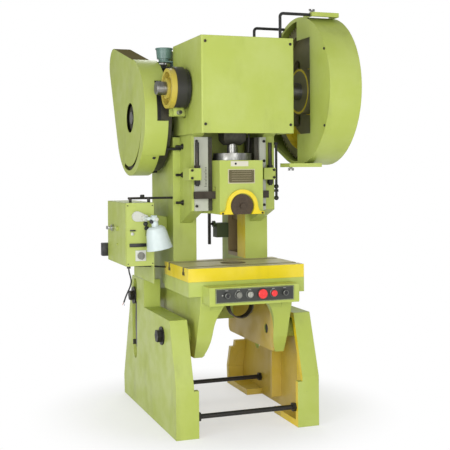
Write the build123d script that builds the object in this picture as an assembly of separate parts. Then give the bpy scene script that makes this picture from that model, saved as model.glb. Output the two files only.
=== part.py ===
from build123d import *
import math
import os

# Inclinable open-back crank press. X to the right seen from the front, Y to the back, Z up, millimetres.
# The origin lies on the floor in the middle of the four anchor holes.

# Stand
leg_gap = 39.5
leg_width = 83.0
leg_web = 20.0
leg_flange = 26.0
leg_front = -470.0
leg_knee_z = 230.0
leg_shoulder_y = -374.0
leg_top_z = 511.0
ear_front = 60.0
ear_behind_slot = 28.0
ear_top_z = 645.0
heel_reach = 188.0
heel_rise = 8.0
heel_z = 97.0
foot_inset = 23.0
foot_step_z = 210.0
foot_pad = 30.0
foot_front_len = 280.0
foot_rear_len = 300.0
arch_rise = 45.0
flange_stop_z = 245.0
rib_thick = 24.0
rib_recess = 14.0
anchor_inset = 53.0
anchor_y = 400.0
anchor_r = 11.0
tie_r = 11.0
tie_z = 88.0
tie_front_y = -438.0
tie_rear_y = 190.0
nut_thick = 16.0
rod_seat = 4.0

# Tilt pivot and curved clamp slot
pivot_y = -256.0
pivot_z = 425.0
pivot_r = 22.0
pivot_boss_r = 46.0
slot_radius = 520.0
slot_up_deg = 20.0
slot_down_deg = 18.5
slot_width = 64.0
clamp_deg = 13.5
clamp_r = 15.0
clamp_washer_r = 44.0
running_gap = 0.05
seat_gap = 0.3
boss_gap = 0.5
pivot_washer_r = 42.0
pivot_washer_thick = 6.0
head_r = 30.0
bolt_head_thick = 22.0
clamp_washer_thick = 6.7
clamp_edge = 15.4
clamp_head_r = 26.0
clamp_head_thick = 20.0

# Frame casting
frame_half = 222.5
plate_thick = 50.0
skirt_front = -455.0
plate_bottom_z = 330.0
table_half = 280.0
table_rear = -81.0
bed_bottom_z = 622.0
bed_thick = 66.0
bolster_thick = 60.0
column_front = -107.0
column_rear = 225.0
column_wider = 20.5
column_deep = 96.0
column_flange = 110.0
column_rear_flange = 88.0
column_web = 26.0
throat_top_z = 930.0
guide_bottom_z = 995.0
guide_top_z = 1337.0
head_front = -285.0
wall_inset = 15.5
wall_thick = 57.0
head_top_rear = 35.0
head_top_z = 1765.0
shoulder_z = 1342.0
crank_y = -270.0
crank_z = 1560.0
boss_r = 92.0
boss_reach = 46.0
nose_reach = 150.0
nose_below = 140.0
nose_above = 130.0
nose_slope = 60.0
back_rise = 160.0
back_wall = 34.0
cross_back = 45.0
roof_drop = 130.0
roof_thick = 30.0
lug_z = 407.0
lug_back = 68.0
lug_foot_back = 105.0
lug_deep = 40.0
lug_round = 34.0
skirt_knee_z = 554.0
skirt_knee = 15.0
arch_curve = ((85.0, 596.0), (120.0, 553.0), (143.0, 495.0), (150.0, 430.0), (161.0, 374.0), (183.0, 329.0))

# Table
slug_r = 60.0
tslot_w = 22.0
tslot_head_w = 38.0
tslot_head_h = 16.0
tslot_depth = 36.0
tslot_offset = 110.0

# Slug spout
chute_r = 60.0
chute_front = -380.0
chute_rear = -334.0
chute_wall = 5.0
saddle_half = 34.0
bed_bore_r = 72.0

# Crank train
throw = 32.5
main_r = 48.0
pin_r = 60.0
web_gap = 4.0
web_thick = 38.0
web_r = 88.0
bush_wall = 8.0
left_end_r = 24.0
nut_stand = 52.0
nut_r = 31.0
drum_r = 92.0
drum_gap = 22.0
drum_width = 91.0
band_thick = 9.0
band_lug_deep = 14.0
anchor_back = 52.0
rod_side_gap = 2.5
rod_ring_r = 92.0
rod_neck_half = 54.0
rod_foot_half = 40.0
rod_foot_rise = 72.0
rod_neck_rise = 128.0
rod_shoulder = 40.0
cap_gap = 0.2
screw_r = 25.0
screw_core_r = 21.0
ball_r = 45.0
ball_rise = 189.0

# Gear train
module = 8.0
gear_teeth = 81
pinion_teeth = 16
addendum = 0.8
dedendum = 1.05
backlash = 0.5
gear_gap = 143.5
gear_width = 84.0
gear_web = 22.0
gear_rim = 34.0
hub_ring_r = 109.0
hub_r = 84.0
window_hole_r = 36.0
hub_stand_left = 21.0
hub_stand_right = 12.0
shaft_past_hub = 16.0
guard_past_shaft = 17.0
guard_left_gap = 30.0
drive_drop = 116.0
drive_r = 30.0
drive_boss_r = 66.0
drive_boss_reach = 20.0

# Flywheel and motor
fly_gap = 39.5
fly_width = 126.0
fly_r = 262.0
fly_rim = 46.0
fly_hub_r = 62.0
fly_web = 28.0
belt_count = 3
belt_pitch = 22.0
belt_w = 12.0
belt_h = 9.0
belt_inset = 16.0
motor_y = 450.0
motor_z = 1738.0
motor_pulley_r = 66.0
motor_r = 104.0
motor_left = -84.0
motor_right = 196.0
motor_shaft_r = 19.0
fin_count = 24
fin_high = 7.0
fin_half = 1.6
end_bell = 45.0
bell_step = 12.0
foot_thick = 14.0
foot_half = 92.0
shelf_gap = 33.5
gusset_deep = 230.0
pedestal_inset = 2.0
pedestal_thick = 26.0

# Slide
ram_side_gap = 44.0
ram_front = -388.0
ram_rear = -170.0
daylight = 233.0
ball_cover = 58.0
ridge_y = -215.0
ridge_half = 36.0
ridge_depth = 30.0
ridge_tip_half = 6.0
guide_gap = 0.15
gland_cover = 45.0
gland_thick = 34.0
shank_r = 20.0
shank_depth = 60.0
clamp_half = 46.0
clamp_gap = 0.1
clamp_head = 7.5
clamp_disc_thick = 8.0
clamp_nut_r = 13.0
clamp_nut_thick = 12.0
arch_r = 76.0
arch_foot_half = 107.0
arch_thick = 14.0
clamp_disc_r = 54.0
arch_window_r = 58.0
window_rise = 38.0
arch_foot_high = 10.0
bar_y0 = -331.0
bar_thick = 25.0
bar_rise = 71.0
bar_height = 34.0
bar_left_in = 2.0
bar_right_in = 47.0
bar_travel = 20.0
bar_side_gap = 0.5
plate_label_half = 66.0
label_rise = 141.0
label_high = 66.0
label_pin = 7.5
gib_thick = 12.0
gib_inset = 24.0
stop_rise = 157.0
stop_high = 55.0
stop_bolt_up = 119.0
stop_bolt_down = 28.0
stop_nut_r = 15.0
stop_nut_thick = 13.0
stop_head_thick = 21.0
stop_deep = 55.0
stop_bolt_r = 9.0
stop_bolt_front = 33.0
stop_spans = ((-29.0, 30.0, 17.0), (74.0, 16.0, 35.0))
guide_back = 60.0

# Sheet-metal covers
sheet = 2.5
cover_seat_r = 14.0
cover_seat_in = 50.0
cover_front = -485.0
cover_rear = -55.0
cover_bottom_z = 1349.0
cover_top_z = 1782.0
cover_bend = 6.0
cover_hem = 24.0
guard_l_gap = 12.0
guard_l_deep = 88.0
wrap_deep = 114.0
wrap_low_deg = 221.0
wrap_high_deg = 103.0
wrap_notch_in = 59.0
wrap_notch_low_z = 1416.0
wrap_notch_high_z = 1608.0
guard_hole_r = 73.0
guard_l_r = 286.0
guard_l_motor_r = 90.0
guard_r_r = 355.0
guard_r_pinion_r = 104.0
guard_lip = 18.0
guard_bar_r = 7.0
bar_front_in = 39.5
bar_rear_in = 47.5
bar_front_y = -422.0
bar_front_z = 1906.0
bar_rear_y = -122.0
bar_rear_z = 1880.0
tab_reach = 138.0
tab_front = -445.0
tab_back = -345.0
tab_top_z = 1917.0
tab_skirt = 20.0
tab_thick = 4.0
low_tab_back_reach = 117.0
low_tab_reach = 47.0
low_tab_front = -440.0
low_tab_back = -330.0
low_tab_z = 1213.0
low_tab_skirt = 18.0
notch_front = -415.0
notch_bottom_z = 1353.0
notch_top_z = 1804.0

# Electrics
ebox_gap = 127.5
ebox_wide = 134.0
ebox_wall = 3.0
ebox_front = -150.0
ebox_rear = 220.0
ebox_bottom_z = 737.0
ebox_high = 296.0
door_thick = 3.0
door_gap = 0.3
handle_back = 245.0
handle_rise = 168.0
handle_r = 16.0
handle_pin_r = 6.0
lock_back = 160.0
lock_r = 11.0
pin_rise = 93.0
pin_mark_r = 5.0
socket_rise = 33.0
socket_high = 60.0
socket_inset = 18.0
socket_deep = 44.0
switch_inset = 68.0
switch_rise = 49.0
switch_half = 25.0
switch_r = 17.0
switch_stem_r = 5.0
skirt_high = 85.0
strap_front = 0.0
strap_taper = 25.0
strap_rise = 98.0
strap_high = 145.0
strap_deep = 40.0
gland_inset_x = 18.0
gland_inset_y = 30.0
gland_nut_r = 9.0
gland_nut_long = 12.0
panel_half = 214.0
panel_front = -546.0
panel_bottom_z = 590.0
panel_top_z = 672.0
panel_wall = 3.0
plate_half = 186.0
plate_low_z = 602.0
plate_high_z = 666.0
plate_thin = 3.0
button_z = 636.0
button_xs = (-135.0, -80.0, -27.0, 32.0, 87.0, 141.0)
button_rs = (13.0, 13.0, 13.0, 21.0, 14.0, 13.0)
button_names = ("inch_button", "run_button", "mode_selector", "stop_mushroom", "stop_button", "start_button")
button_stem_r = 8.0
button_travel = 5.0
cord_r = 3.5

# Work lamp and oil cup
lamp_post_in = 48.0
lamp_reach = 26.0
lamp_base_far = 84.0
lamp_base_rise = 8.0
lamp_base_r = 24.0
lamp_boss_r = 16.0
lamp_base_thick = 12.0
lamp_boss_long = 26.0
lamp_y = -226.0
lamp_arm_z = 962.0
lamp_arm_r = 8.0
shade_top = 925.0
shade_lean = -11.0
shade_bell = (
    (0.0, 0.0), (30.0, 0.0), (42.0, -9.0), (49.0, -32.0), (53.0, -62.0), (58.0, -90.0), (62.0, -106.0),
)
shade_crown = 14.0
shade_neck_r = 16.0
shade_ear = 12.0
cup_y = -5.0
cup_z = 1715.0
cup_r = 40.0
cup_high = 52.0
cup_taper = 0.88
cup_wall = 4.0
cup_shelf_out = 70.0
cup_out = 46.0
cup_shelf_half = 32.0
cup_shelf_thick = 6.0
cup_shelf_drop = 44.0
cup_neck = 12.0
pump_y = 160.0
pump_z = 905.0
pump_wide = 64.5
pump_low_z = 836.0
pump_high_z = 910.0
pump_half = 30.0
pump_boss_r = 16.0
pump_boss_long = 12.0
lever_r = 6.0
lever_half = 8.0
lever_thick = 12.0
lever_low_z = 800.0
lever_high_z = 990.0

# Worked-out places
leg_outer = frame_half + leg_gap + leg_width
anchor_x = leg_outer - anchor_inset
column_half = frame_half + column_wider
head_outer = frame_half - wall_inset
drum_inner = -head_outer - drum_gap
drum_outer = drum_inner - drum_width
left_end = drum_outer - nut_stand
head_inner = head_outer - wall_thick
boss_inner = head_inner - boss_reach
drive_boss_inner = head_inner - drive_boss_reach
column_inner = frame_half - column_deep
cover_half = frame_half
ear_rear = pivot_y + slot_radius + ear_behind_slot
heel_y = ear_rear + heel_reach
leg_rear = heel_y - heel_rise
web_outer = boss_inner - web_gap
pin_half = web_outer - web_thick
rod_half = pin_half - rod_side_gap
ram_half = head_inner - ram_side_gap
gland_r = ball_r + gland_cover
table_top_z = bed_bottom_z + bed_thick + bolster_thick
ram_bottom_z = table_top_z + daylight
arch_window_z = ram_bottom_z + window_rise
bar_bottom_z = ram_bottom_z + bar_rise
bar_left = bar_left_in - head_outer
bar_right = head_outer - bar_right_in
label_low_z = ram_bottom_z + label_rise
label_high_z = label_low_z + label_high
stop_low_z = ram_bottom_z + stop_rise
stop_high_z = stop_low_z + stop_high
stop_bolt_y = head_front - stop_bolt_front
ball_z = ram_bottom_z + ball_rise
ram_top_z = ball_z + ball_cover
rod_foot_z = ram_top_z + rod_foot_rise
rod_neck_z = ram_top_z + rod_neck_rise
gear_face_x = frame_half + gear_gap
hub_left = gear_face_x - hub_stand_left
hub_right = gear_face_x + gear_width + hub_stand_right
right_end = hub_right + shaft_past_hub
guard_r_left = gear_face_x - guard_left_gap
guard_r_right = right_end + guard_past_shaft
tab_right = guard_r_left + tab_reach
low_tab_left = guard_r_left - low_tab_back_reach
low_tab_right = guard_r_left + low_tab_reach
fly_inner = -frame_half - fly_gap
fly_outer = fly_inner - fly_width
belt_first_x = fly_outer + belt_inset
shelf_left = -frame_half - shelf_gap
pedestal_x = shelf_left + pedestal_inset
guard_l_face = fly_outer - guard_l_gap
guard_l_inner = guard_l_face + guard_l_deep
guard_l_wrap = guard_l_face + wrap_deep
wrap_notch_x = guard_l_face + wrap_notch_in
ebox_right = -frame_half - ebox_gap
ebox_left = ebox_right - ebox_wide
ebox_top_z = ebox_bottom_z + ebox_high
lamp_post_x = ebox_right - lamp_post_in
lamp_x = lamp_post_x + lamp_reach
chute_z = bed_bottom_z - chute_r
leg_inner = leg_outer - leg_width
foot_inner = leg_inner - foot_inset
bed_top_z = bed_bottom_z + bed_thick
gear_pitch_r = module * gear_teeth / 2
pinion_pitch_r = module * pinion_teeth / 2
centre_distance = gear_pitch_r + pinion_pitch_r
drive_z = crank_z - drive_drop
drive_y = crank_y + math.sqrt(centre_distance**2 - drive_drop**2)
clamp_y = pivot_y + slot_radius * math.cos(math.radians(clamp_deg))
clamp_z = pivot_z + slot_radius * math.sin(math.radians(clamp_deg))
plate_rear = clamp_y + clamp_edge
pin_z = crank_z + throw


def block(x0, x1, y0, y1, z0, z1):
    """A box between its six faces."""
    return Pos((x0 + x1) / 2, (y0 + y1) / 2, (z0 + z1) / 2) * Box(abs(x1 - x0), abs(y1 - y0), abs(z1 - z0))


def rod_x(y, z, r, x0, x1):
    """A cylinder along X."""
    return Pos((x0 + x1) / 2, y, z) * Rot(0, 90, 0) * Cylinder(r, abs(x1 - x0))


def rod_y(x, z, r, y0, y1):
    """A cylinder along Y."""
    return Pos(x, (y0 + y1) / 2, z) * Rot(90, 0, 0) * Cylinder(r, abs(y1 - y0))


def rod_z(x, y, r, z0, z1):
    """A cylinder along Z."""
    return Pos(x, y, (z0 + z1) / 2) * Cylinder(r, abs(z1 - z0))


def side_plate(face, x0, x1):
    """A side-view outline, drawn in Y and Z, given its thickness along X."""
    return extrude(Plane.YZ.offset(min(x0, x1)) * face, amount=abs(x1 - x0), dir=(1, 0, 0))


def front_plate(face, y0, y1):
    """A front-view outline, drawn in X and Z, given its thickness along Y."""
    return extrude(Plane.XZ.offset(-max(y0, y1)) * face, amount=abs(y1 - y0), dir=(0, -1, 0))


def outline(*points):
    """A closed outline from its corners."""
    return Polygon(*points, align=None)


def disc(a, b, r):
    """A circle at a place in its sketch."""
    return Pos(a, b) * Circle(r)


def hull(a, b, ra, rb, shrink=0.0):
    """The belt-shaped outline round two circles."""
    return make_hull((disc(*a, ra - shrink) + disc(*b, rb - shrink)).edges())


def upright(face, z0, z1):
    """A plan-view outline, drawn in X and Y, given its height along Z."""
    return extrude(Plane.XY.offset(z0) * face, amount=z1 - z0, dir=(0, 0, 1))


def mirrored(shape):
    """The same piece on the other side of the press."""
    return mirror(shape, about=Plane.YZ)


def hexagon_x(y, z, r, x0, x1):
    """A hexagon nut or head with its axis along X."""
    return side_plate(Pos(y, z) * RegularPolygon(r, 6), x0, x1)


def hexagon_y(x, z, r, y0, y1):
    """A hexagon nut or head with its axis along Y."""
    return front_plate(Pos(x, z) * RegularPolygon(r, 6), y0, y1)


def hexagon_z(x, y, r, z0, z1):
    """A hexagon nut or head with its axis along Z."""
    return upright(Pos(x, y) * RegularPolygon(r, 6), z0, z1)


parts = {}


def leg_outline():
    """Side view of a leg."""
    return outline(
        (leg_front, 0), (leg_rear, 0), (heel_y, heel_z), (ear_rear + 45, leg_top_z), (ear_rear, ear_top_z),
        (ear_front, ear_top_z), (ear_front, leg_top_z), (leg_shoulder_y, leg_top_z), (leg_front, leg_knee_z),
    )


def tilt_slot():
    """The curved slot that the clamp bolt runs along, about the pivot."""
    lower = math.radians(-slot_down_deg)
    upper = math.radians(slot_up_deg)
    ends = [
        disc(pivot_y + slot_radius * math.cos(a), pivot_z + slot_radius * math.sin(a), slot_width / 2)
        for a in (lower, upper)
    ]
    half = slot_width / 2
    band = disc(pivot_y, pivot_z, slot_radius + half) - disc(pivot_y, pivot_z, slot_radius - half)
    far = 2 * slot_radius
    wedge = outline(
        (pivot_y, pivot_z),
        (pivot_y + far * math.cos(lower), pivot_z + far * math.sin(lower)),
        (pivot_y + far * math.cos(upper), pivot_z + far * math.sin(upper)),
    )
    return (band & wedge) + ends[0] + ends[1]


def right_leg():
    """A cast leg: an outer web with a flange round it, a rib, foot pads, a pivot boss and the tilt slot."""
    shape = leg_outline()
    web_face = leg_outer - leg_web
    leg = side_plate(shape, web_face, leg_outer)
    rim = shape - offset(shape, -leg_flange, kind=Kind.INTERSECTION)
    flange = side_plate(rim, leg_inner, web_face)
    flange -= block(leg_inner - 1, web_face, ear_front + leg_flange, heel_y + 1, flange_stop_z, ear_top_z + 1)
    leg += flange
    foot = rim & Pos(0, foot_step_z / 2) * Rectangle(4 * leg_rear, foot_step_z)
    leg += side_plate(foot, foot_inner, leg_inner)
    front_foot = leg_front + foot_front_len
    rear_foot = leg_rear - foot_rear_len
    leg -= block(foot_inner - 1, web_face, front_foot, rear_foot, -1, arch_rise)
    rib_y = (ear_front + front_foot) / 2
    half = rib_thick / 2
    rib_top = leg_top_z - leg_flange / 2
    leg += block(leg_inner + rib_recess, web_face, rib_y - half, rib_y + half, arch_rise, rib_top)
    leg += rod_x(pivot_y, pivot_z, pivot_boss_r, leg_inner, web_face)
    for y0, y1 in ((leg_front, front_foot), (rear_foot, leg_rear)):
        leg += block(foot_inner, leg_outer, y0, y1, 0, foot_pad)
    for y in (-anchor_y, anchor_y):
        leg -= rod_z(anchor_x, y, anchor_r, -1, foot_pad + 1)
    leg -= side_plate(tilt_slot(), web_face - 1, leg_outer + 1)
    leg -= rod_x(pivot_y, pivot_z, pivot_r, leg_inner - 1, leg_outer + 1)
    for y in (tie_front_y, tie_rear_y):
        leg -= rod_x(y, tie_z, tie_r, foot_inner - 1, leg_outer - rod_seat)
    return leg


def stand():
    """Both legs, the tie rods between them and the nuts that lock the rods inside."""
    leg = right_leg()
    parts["right_leg"] = leg
    parts["left_leg"] = mirrored(leg)
    nuts, rods = [], []
    reach = leg_outer - rod_seat
    for y, inner in ((tie_front_y, foot_inner), (tie_rear_y, leg_outer - leg_web)):
        rods.append(rod_x(y, tie_z, tie_r, -reach, reach))
        for side in (-1, 1):
            nut = hexagon_x(y, tie_z, 1.9 * tie_r, side * (inner - nut_thick), side * inner)
            nuts.append(nut - rod_x(y, tie_z, tie_r, side * (inner - nut_thick - 1), side * (inner + 1)))
    parts["tie_rods"] = Compound(children=rods)
    parts["tie_rod_nuts"] = Compound(children=nuts)


def side_wall():
    """The right lower side plate of the frame, from the bed down to its rounded lug at the pivot."""
    knee = skirt_front + skirt_knee
    plate = outline(
        (skirt_front, bed_bottom_z), (knee, skirt_knee_z), (skirt_front + lug_back, lug_z),
        (skirt_front + lug_foot_back, plate_bottom_z), (plate_rear, plate_bottom_z),
        (plate_rear, bed_top_z), (skirt_front, bed_top_z),
    )
    corners = plate.vertices().filter_by(lambda v: abs(v.Y - plate_bottom_z) < 1)
    return side_plate(fillet(corners, lug_round), frame_half - plate_thick, frame_half)


def column():
    """The right column: a channel open towards the middle, whose web runs on behind its rear flange."""
    web_x = column_half - column_web
    post = block(column_inner, column_half, column_front, column_rear, bed_bottom_z, shoulder_z)
    post += block(web_x, column_half, column_rear - 1, plate_rear, bed_bottom_z, shoulder_z)
    front, rear = column_front + column_flange, column_rear - column_rear_flange
    return post - block(column_inner - 1, web_x, front, rear, table_top_z + 20, throat_top_z + 60)


def head_wall():
    """The right wall of the head, which carries the crank and drive-shaft bearings."""
    nose_y = crank_y - nose_reach
    wall = outline(
        (column_rear, throat_top_z), (column_front, throat_top_z), (head_front, guide_bottom_z),
        (head_front, guide_top_z + 5), (nose_y, crank_z - nose_below), (nose_y, crank_z + nose_above),
        (nose_y + nose_slope, head_top_z), (head_top_rear, head_top_z), (column_rear, drive_z + back_rise),
    )
    return side_plate(wall, head_inner, head_outer)


def front_skirt():
    """The front wall under the bed, which follows the lugs down on both sides of a curved arch."""
    line = (
        (skirt_front + skirt_knee, bed_bottom_z), (skirt_front + skirt_knee, skirt_knee_z),
        (skirt_front + lug_back, lug_z), (skirt_front + lug_foot_back, plate_bottom_z),
    )
    strip = outline(*line, *((y + lug_deep, z) for y, z in reversed(line)))
    half = frame_half - 1
    right = Spline(*arch_curve)
    left = Spline(*((-x, z) for x, z in reversed(arch_curve)))
    foot_x, foot_z = arch_curve[-1]
    rest = Polyline(
        (foot_x, foot_z), (half, foot_z), (half, bed_bottom_z), (-half, bed_bottom_z), (-half, foot_z),
        (-foot_x, foot_z),
    )
    bridge = Line(left @ 1, right @ 0)
    face = make_face([right, rest, left, bridge])
    return side_plate(strip, -half, half) & front_plate(face, skirt_front, crank_y)


def bed_and_skirt():
    """The bed plate, the rear cross web, and the front skirt with its arch."""
    bed = block(-table_half, table_half, skirt_front, table_rear, bed_bottom_z, bed_top_z)
    bed += block(-frame_half, frame_half, table_rear, column_rear, bed_bottom_z, bed_top_z)
    bed += front_skirt()
    inner = frame_half - plate_thick
    bed += block(-inner, inner, column_rear - back_wall, column_rear, lug_z, bed_bottom_z)
    return bed - rod_z(0, crank_y, bed_bore_r, bed_bottom_z - 1, bed_top_z + 1)


def frame_casting():
    """The C-shaped body in one casting."""
    half = side_wall() + column() + head_wall()
    half += rod_x(crank_y, crank_z, boss_r, boss_inner, head_outer)
    half += rod_x(drive_y, drive_z, drive_boss_r, drive_boss_inner, frame_half)
    half += rod_x(pivot_y, pivot_z, pivot_boss_r, frame_half, leg_inner - boss_gap)
    half += rod_x(clamp_y, clamp_z, 2 * clamp_r, frame_half, leg_outer - leg_web - boss_gap)
    for z in (cover_bottom_z + 40, cover_top_z - 60):
        half += rod_x(cover_rear - cover_seat_in, z, cover_seat_r, head_outer, cover_half - sheet)
    body = half + mirrored(half) + bed_and_skirt()
    web = (-head_inner, head_inner)
    seat_y = cover_rear - cross_back
    body += block(*web, column_rear - back_wall, column_rear, throat_top_z + 120, drive_z + 150)
    body += block(*web, seat_y, seat_y + back_wall, guide_bottom_z + 60, head_top_z)
    body += block(*web, seat_y, column_rear - 60, head_top_z - roof_drop, head_top_z - roof_drop + roof_thick)
    plate_inner = frame_half - plate_thick - 1
    for side in (-1, 1):
        body -= rod_x(crank_y, crank_z, main_r + bush_wall, side * (boss_inner - 1), side * (head_outer + 1))
        x0, x1 = side * (drive_boss_inner - 1), side * (frame_half + 1)
        body -= rod_x(drive_y, drive_z, drive_r + bush_wall, x0, x1)
        body -= rod_x(pivot_y, pivot_z, pivot_r + running_gap, side * plate_inner, side * leg_inner)
        body -= rod_x(clamp_y, clamp_z, clamp_r, side * plate_inner, side * leg_outer)
    body -= rod_x(drive_y, drive_z, drive_r + bush_wall, -head_inner, head_inner)
    return body


def bearing(y, z, r, x0, x1):
    """A bronze bush with a running bore for a shaft of radius r."""
    return rod_x(y, z, r + bush_wall, x0, x1) - rod_x(y, z, r + running_gap, x0 - 1, x1 + 1)


def frame_nodes():
    """The frame and what is fastened to it."""
    parts["frame_casting"] = frame_casting()
    bushes = []
    for side in (-1, 1):
        x0, x1 = sorted((side * boss_inner, side * head_outer))
        bushes.append(bearing(crank_y, crank_z, main_r, x0, x1))
        x0, x1 = sorted((side * drive_boss_inner, side * frame_half))
        bushes.append(bearing(drive_y, drive_z, drive_r, x0, x1))
    parts["shaft_bushes"] = Compound(children=bushes)
    pivots, clamps = [], []
    for side in (-1, 1):
        inner = side * (frame_half - plate_thick + 4)
        washer = leg_outer + pivot_washer_thick
        pin = rod_x(pivot_y, pivot_z, pivot_r, inner, side * leg_outer)
        pin += rod_x(pivot_y, pivot_z, pivot_washer_r, side * leg_outer, side * washer)
        pin += hexagon_x(pivot_y, pivot_z, head_r, side * washer, side * (washer + bolt_head_thick))
        pivots.append(pin)
        washer_in = leg_outer + seat_gap
        washer = washer_in + clamp_washer_thick
        bolt = rod_x(clamp_y, clamp_z, clamp_r, inner, side * washer_in)
        bolt += rod_x(clamp_y, clamp_z, clamp_washer_r, side * washer_in, side * washer)
        bolt += hexagon_x(clamp_y, clamp_z, clamp_head_r, side * washer, side * (washer + clamp_head_thick))
        clamps.append(bolt)
    parts["tilt_pivot_bolts"] = Compound(children=pivots)
    parts["tilt_clamp_bolts"] = Compound(children=clamps)


def bolster():
    """The bolster plate with its slug hole and two T-slots."""
    plate = block(-table_half, table_half, skirt_front, table_rear, bed_top_z, table_top_z)
    plate -= rod_z(0, crank_y, slug_r, bed_top_z - 1, table_top_z + 1)
    for side in (-1, 1):
        x0, x1 = side * (column_inner - 1), side * (column_half + 1)
        plate -= block(x0, x1, column_front, table_rear + 1, bed_top_z - 1, table_top_z + 1)
    for side in (-1, 1):
        y = crank_y + side * tslot_offset
        floor_z = table_top_z - tslot_depth
        far = table_half + 1
        plate -= block(-far, far, y - tslot_w / 2, y + tslot_w / 2, floor_z + 1, table_top_z + 1)
        plate -= block(-far, far, y - tslot_head_w / 2, y + tslot_head_w / 2, floor_z, floor_z + tslot_head_h)
    parts["bolster_plate"] = plate


def tooth_flank(pitch_r, teeth):
    """Points of one tooth's right flank as (radius, half angle), root first."""
    pressure = math.radians(20)
    base_r = pitch_r * math.cos(pressure)
    tip_r = pitch_r + addendum * module
    half_pitch = math.pi / 2 / teeth - backlash / 4 / pitch_r
    inv_pitch = math.tan(pressure) - pressure
    low_r = max(base_r, pitch_r - dedendum * module + 1)
    flank = []
    steps = 3
    for i in range(steps + 1):
        r = low_r + (tip_r - low_r) * i / steps
        angle = math.acos(base_r / r)
        flank.append((r, half_pitch + inv_pitch - (math.tan(angle) - angle)))
    return flank


def gear_blank(y, z, teeth, x0, x1, first_angle):
    """A spur gear with its teeth, its first tooth pointing at first_angle in the Y-Z plane."""
    pitch_r = module * teeth / 2
    root_r = pitch_r - dedendum * module
    flank = tooth_flank(pitch_r, teeth)
    points = []
    for i in range(teeth):
        centre = first_angle + 2 * math.pi * i / teeth
        root = flank[0][1] * 1.02
        points.append((root_r, centre - root))
        points += [(r, centre - a) for r, a in flank]
        points += [(r, centre + a) for r, a in reversed(flank)]
        points.append((root_r, centre + root))
    corners = [(y + r * math.cos(a), z + r * math.sin(a)) for r, a in points]
    return side_plate(outline(*corners), x0, x1)


def gears():
    """The bull gear on the crank axis and the pinion on the drive shaft, in mesh at rest."""
    towards = math.atan2(drive_z - crank_z, drive_y - crank_y)
    x0, x1 = gear_face_x, gear_face_x + gear_width
    gear = gear_blank(crank_y, crank_z, gear_teeth, x0, x1, towards)
    inner_r = gear_pitch_r - dedendum * module - gear_rim
    recess = disc(crank_y, crank_z, inner_r) - disc(crank_y, crank_z, hub_r)
    web_x = (x0 + x1) / 2
    gear -= side_plate(recess, x0 - 1, web_x - gear_web / 2)
    gear -= side_plate(recess, web_x + gear_web / 2, x1 + 1)
    gear += rod_x(crank_y, crank_z, hub_r, hub_left, hub_right)
    window_r = (inner_r + hub_r) / 2
    for i in range(4):
        a = math.radians(45 + 90 * i)
        y, z = crank_y + window_r * math.cos(a), crank_z + window_r * math.sin(a)
        gear -= rod_x(y, z, window_hole_r, x0, x1)
    gear -= rod_x(crank_y, crank_z, main_r - 6 + running_gap, hub_left - 1, hub_right + 1)
    ring = rod_x(crank_y, crank_z, hub_ring_r, hub_left, web_x)
    ring -= rod_x(crank_y, crank_z, hub_r, hub_left - 1, web_x + 1)
    parts["bull_gear"] = gear + ring
    gap_angle = towards + math.pi + math.pi / pinion_teeth
    pinion = gear_blank(drive_y, drive_z, pinion_teeth, x0 - 4, x1 + 4, gap_angle)
    pinion -= rod_x(drive_y, drive_z, drive_r - 2, x0 - 5, x1 + 5)
    parts["pinion"] = pinion


def crank_train():
    """The crankshaft with its end nut and brake drum."""
    shaft = rod_x(crank_y, pin_z, pin_r, -pin_half, pin_half)
    for side in (-1, 1):
        shaft += rod_x(crank_y, crank_z + throw / 2, web_r, side * pin_half, side * web_outer)
        shaft += rod_x(crank_y, crank_z, main_r, side * web_outer, side * (head_outer + 18))
    shaft += rod_x(crank_y, crank_z, left_end_r, left_end + 18, -head_outer)
    shaft += rod_x(crank_y, crank_z, main_r - 6, head_outer, right_end)
    parts["crankshaft"] = shaft
    drum = rod_x(crank_y, crank_z, drum_r, drum_outer, drum_inner)
    drum -= rod_x(crank_y, crank_z, drum_r - 16, drum_outer - 1, drum_outer + 26)
    drum += rod_x(crank_y, crank_z, left_end_r + 24, drum_outer - 4, drum_inner)
    drum -= rod_x(crank_y, crank_z, left_end_r, drum_outer - 5, drum_inner + 1)
    parts["brake_drum"] = drum
    nut = rod_x(crank_y, crank_z, nut_r, left_end, drum_outer - 4)
    nut = chamfer(nut.edges().group_by(Axis.X)[0], 4)
    nut -= rod_x(crank_y, crank_z, left_end_r, left_end + 18, drum_outer)
    parts["crank_end_nut"] = nut


def brake_band():
    """The band round the drum, drawn together by a bolt below it and anchored to the head."""
    band = disc(crank_y, crank_z, drum_r + band_thick) - disc(crank_y, crank_z, drum_r + seat_gap)
    band -= outline((crank_y, crank_z), (crank_y - 30, crank_z - 200), (crank_y + 30, crank_z - 200))
    x0, x1 = drum_outer + 26, drum_inner - 20
    band = side_plate(band, x0, x1)
    bolt_z = crank_z - drum_r - 20
    for side in (-1, 1):
        y = crank_y + side * 24
        band += block(x0, x1, y - 4, y + 4, bolt_z - band_lug_deep, crank_z - drum_r - 1)
    middle = (x0 + x1) / 2
    band += rod_y(middle, bolt_z, 5, crank_y - 66, crank_y + 30)
    band += hexagon_y(middle, bolt_z, 9, crank_y - 62, crank_y - 54)
    band += block(x0, -head_outer, crank_y + 28, crank_y + anchor_back, bolt_z - band_lug_deep, bolt_z + 20)
    parts["brake_band"] = band


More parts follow.
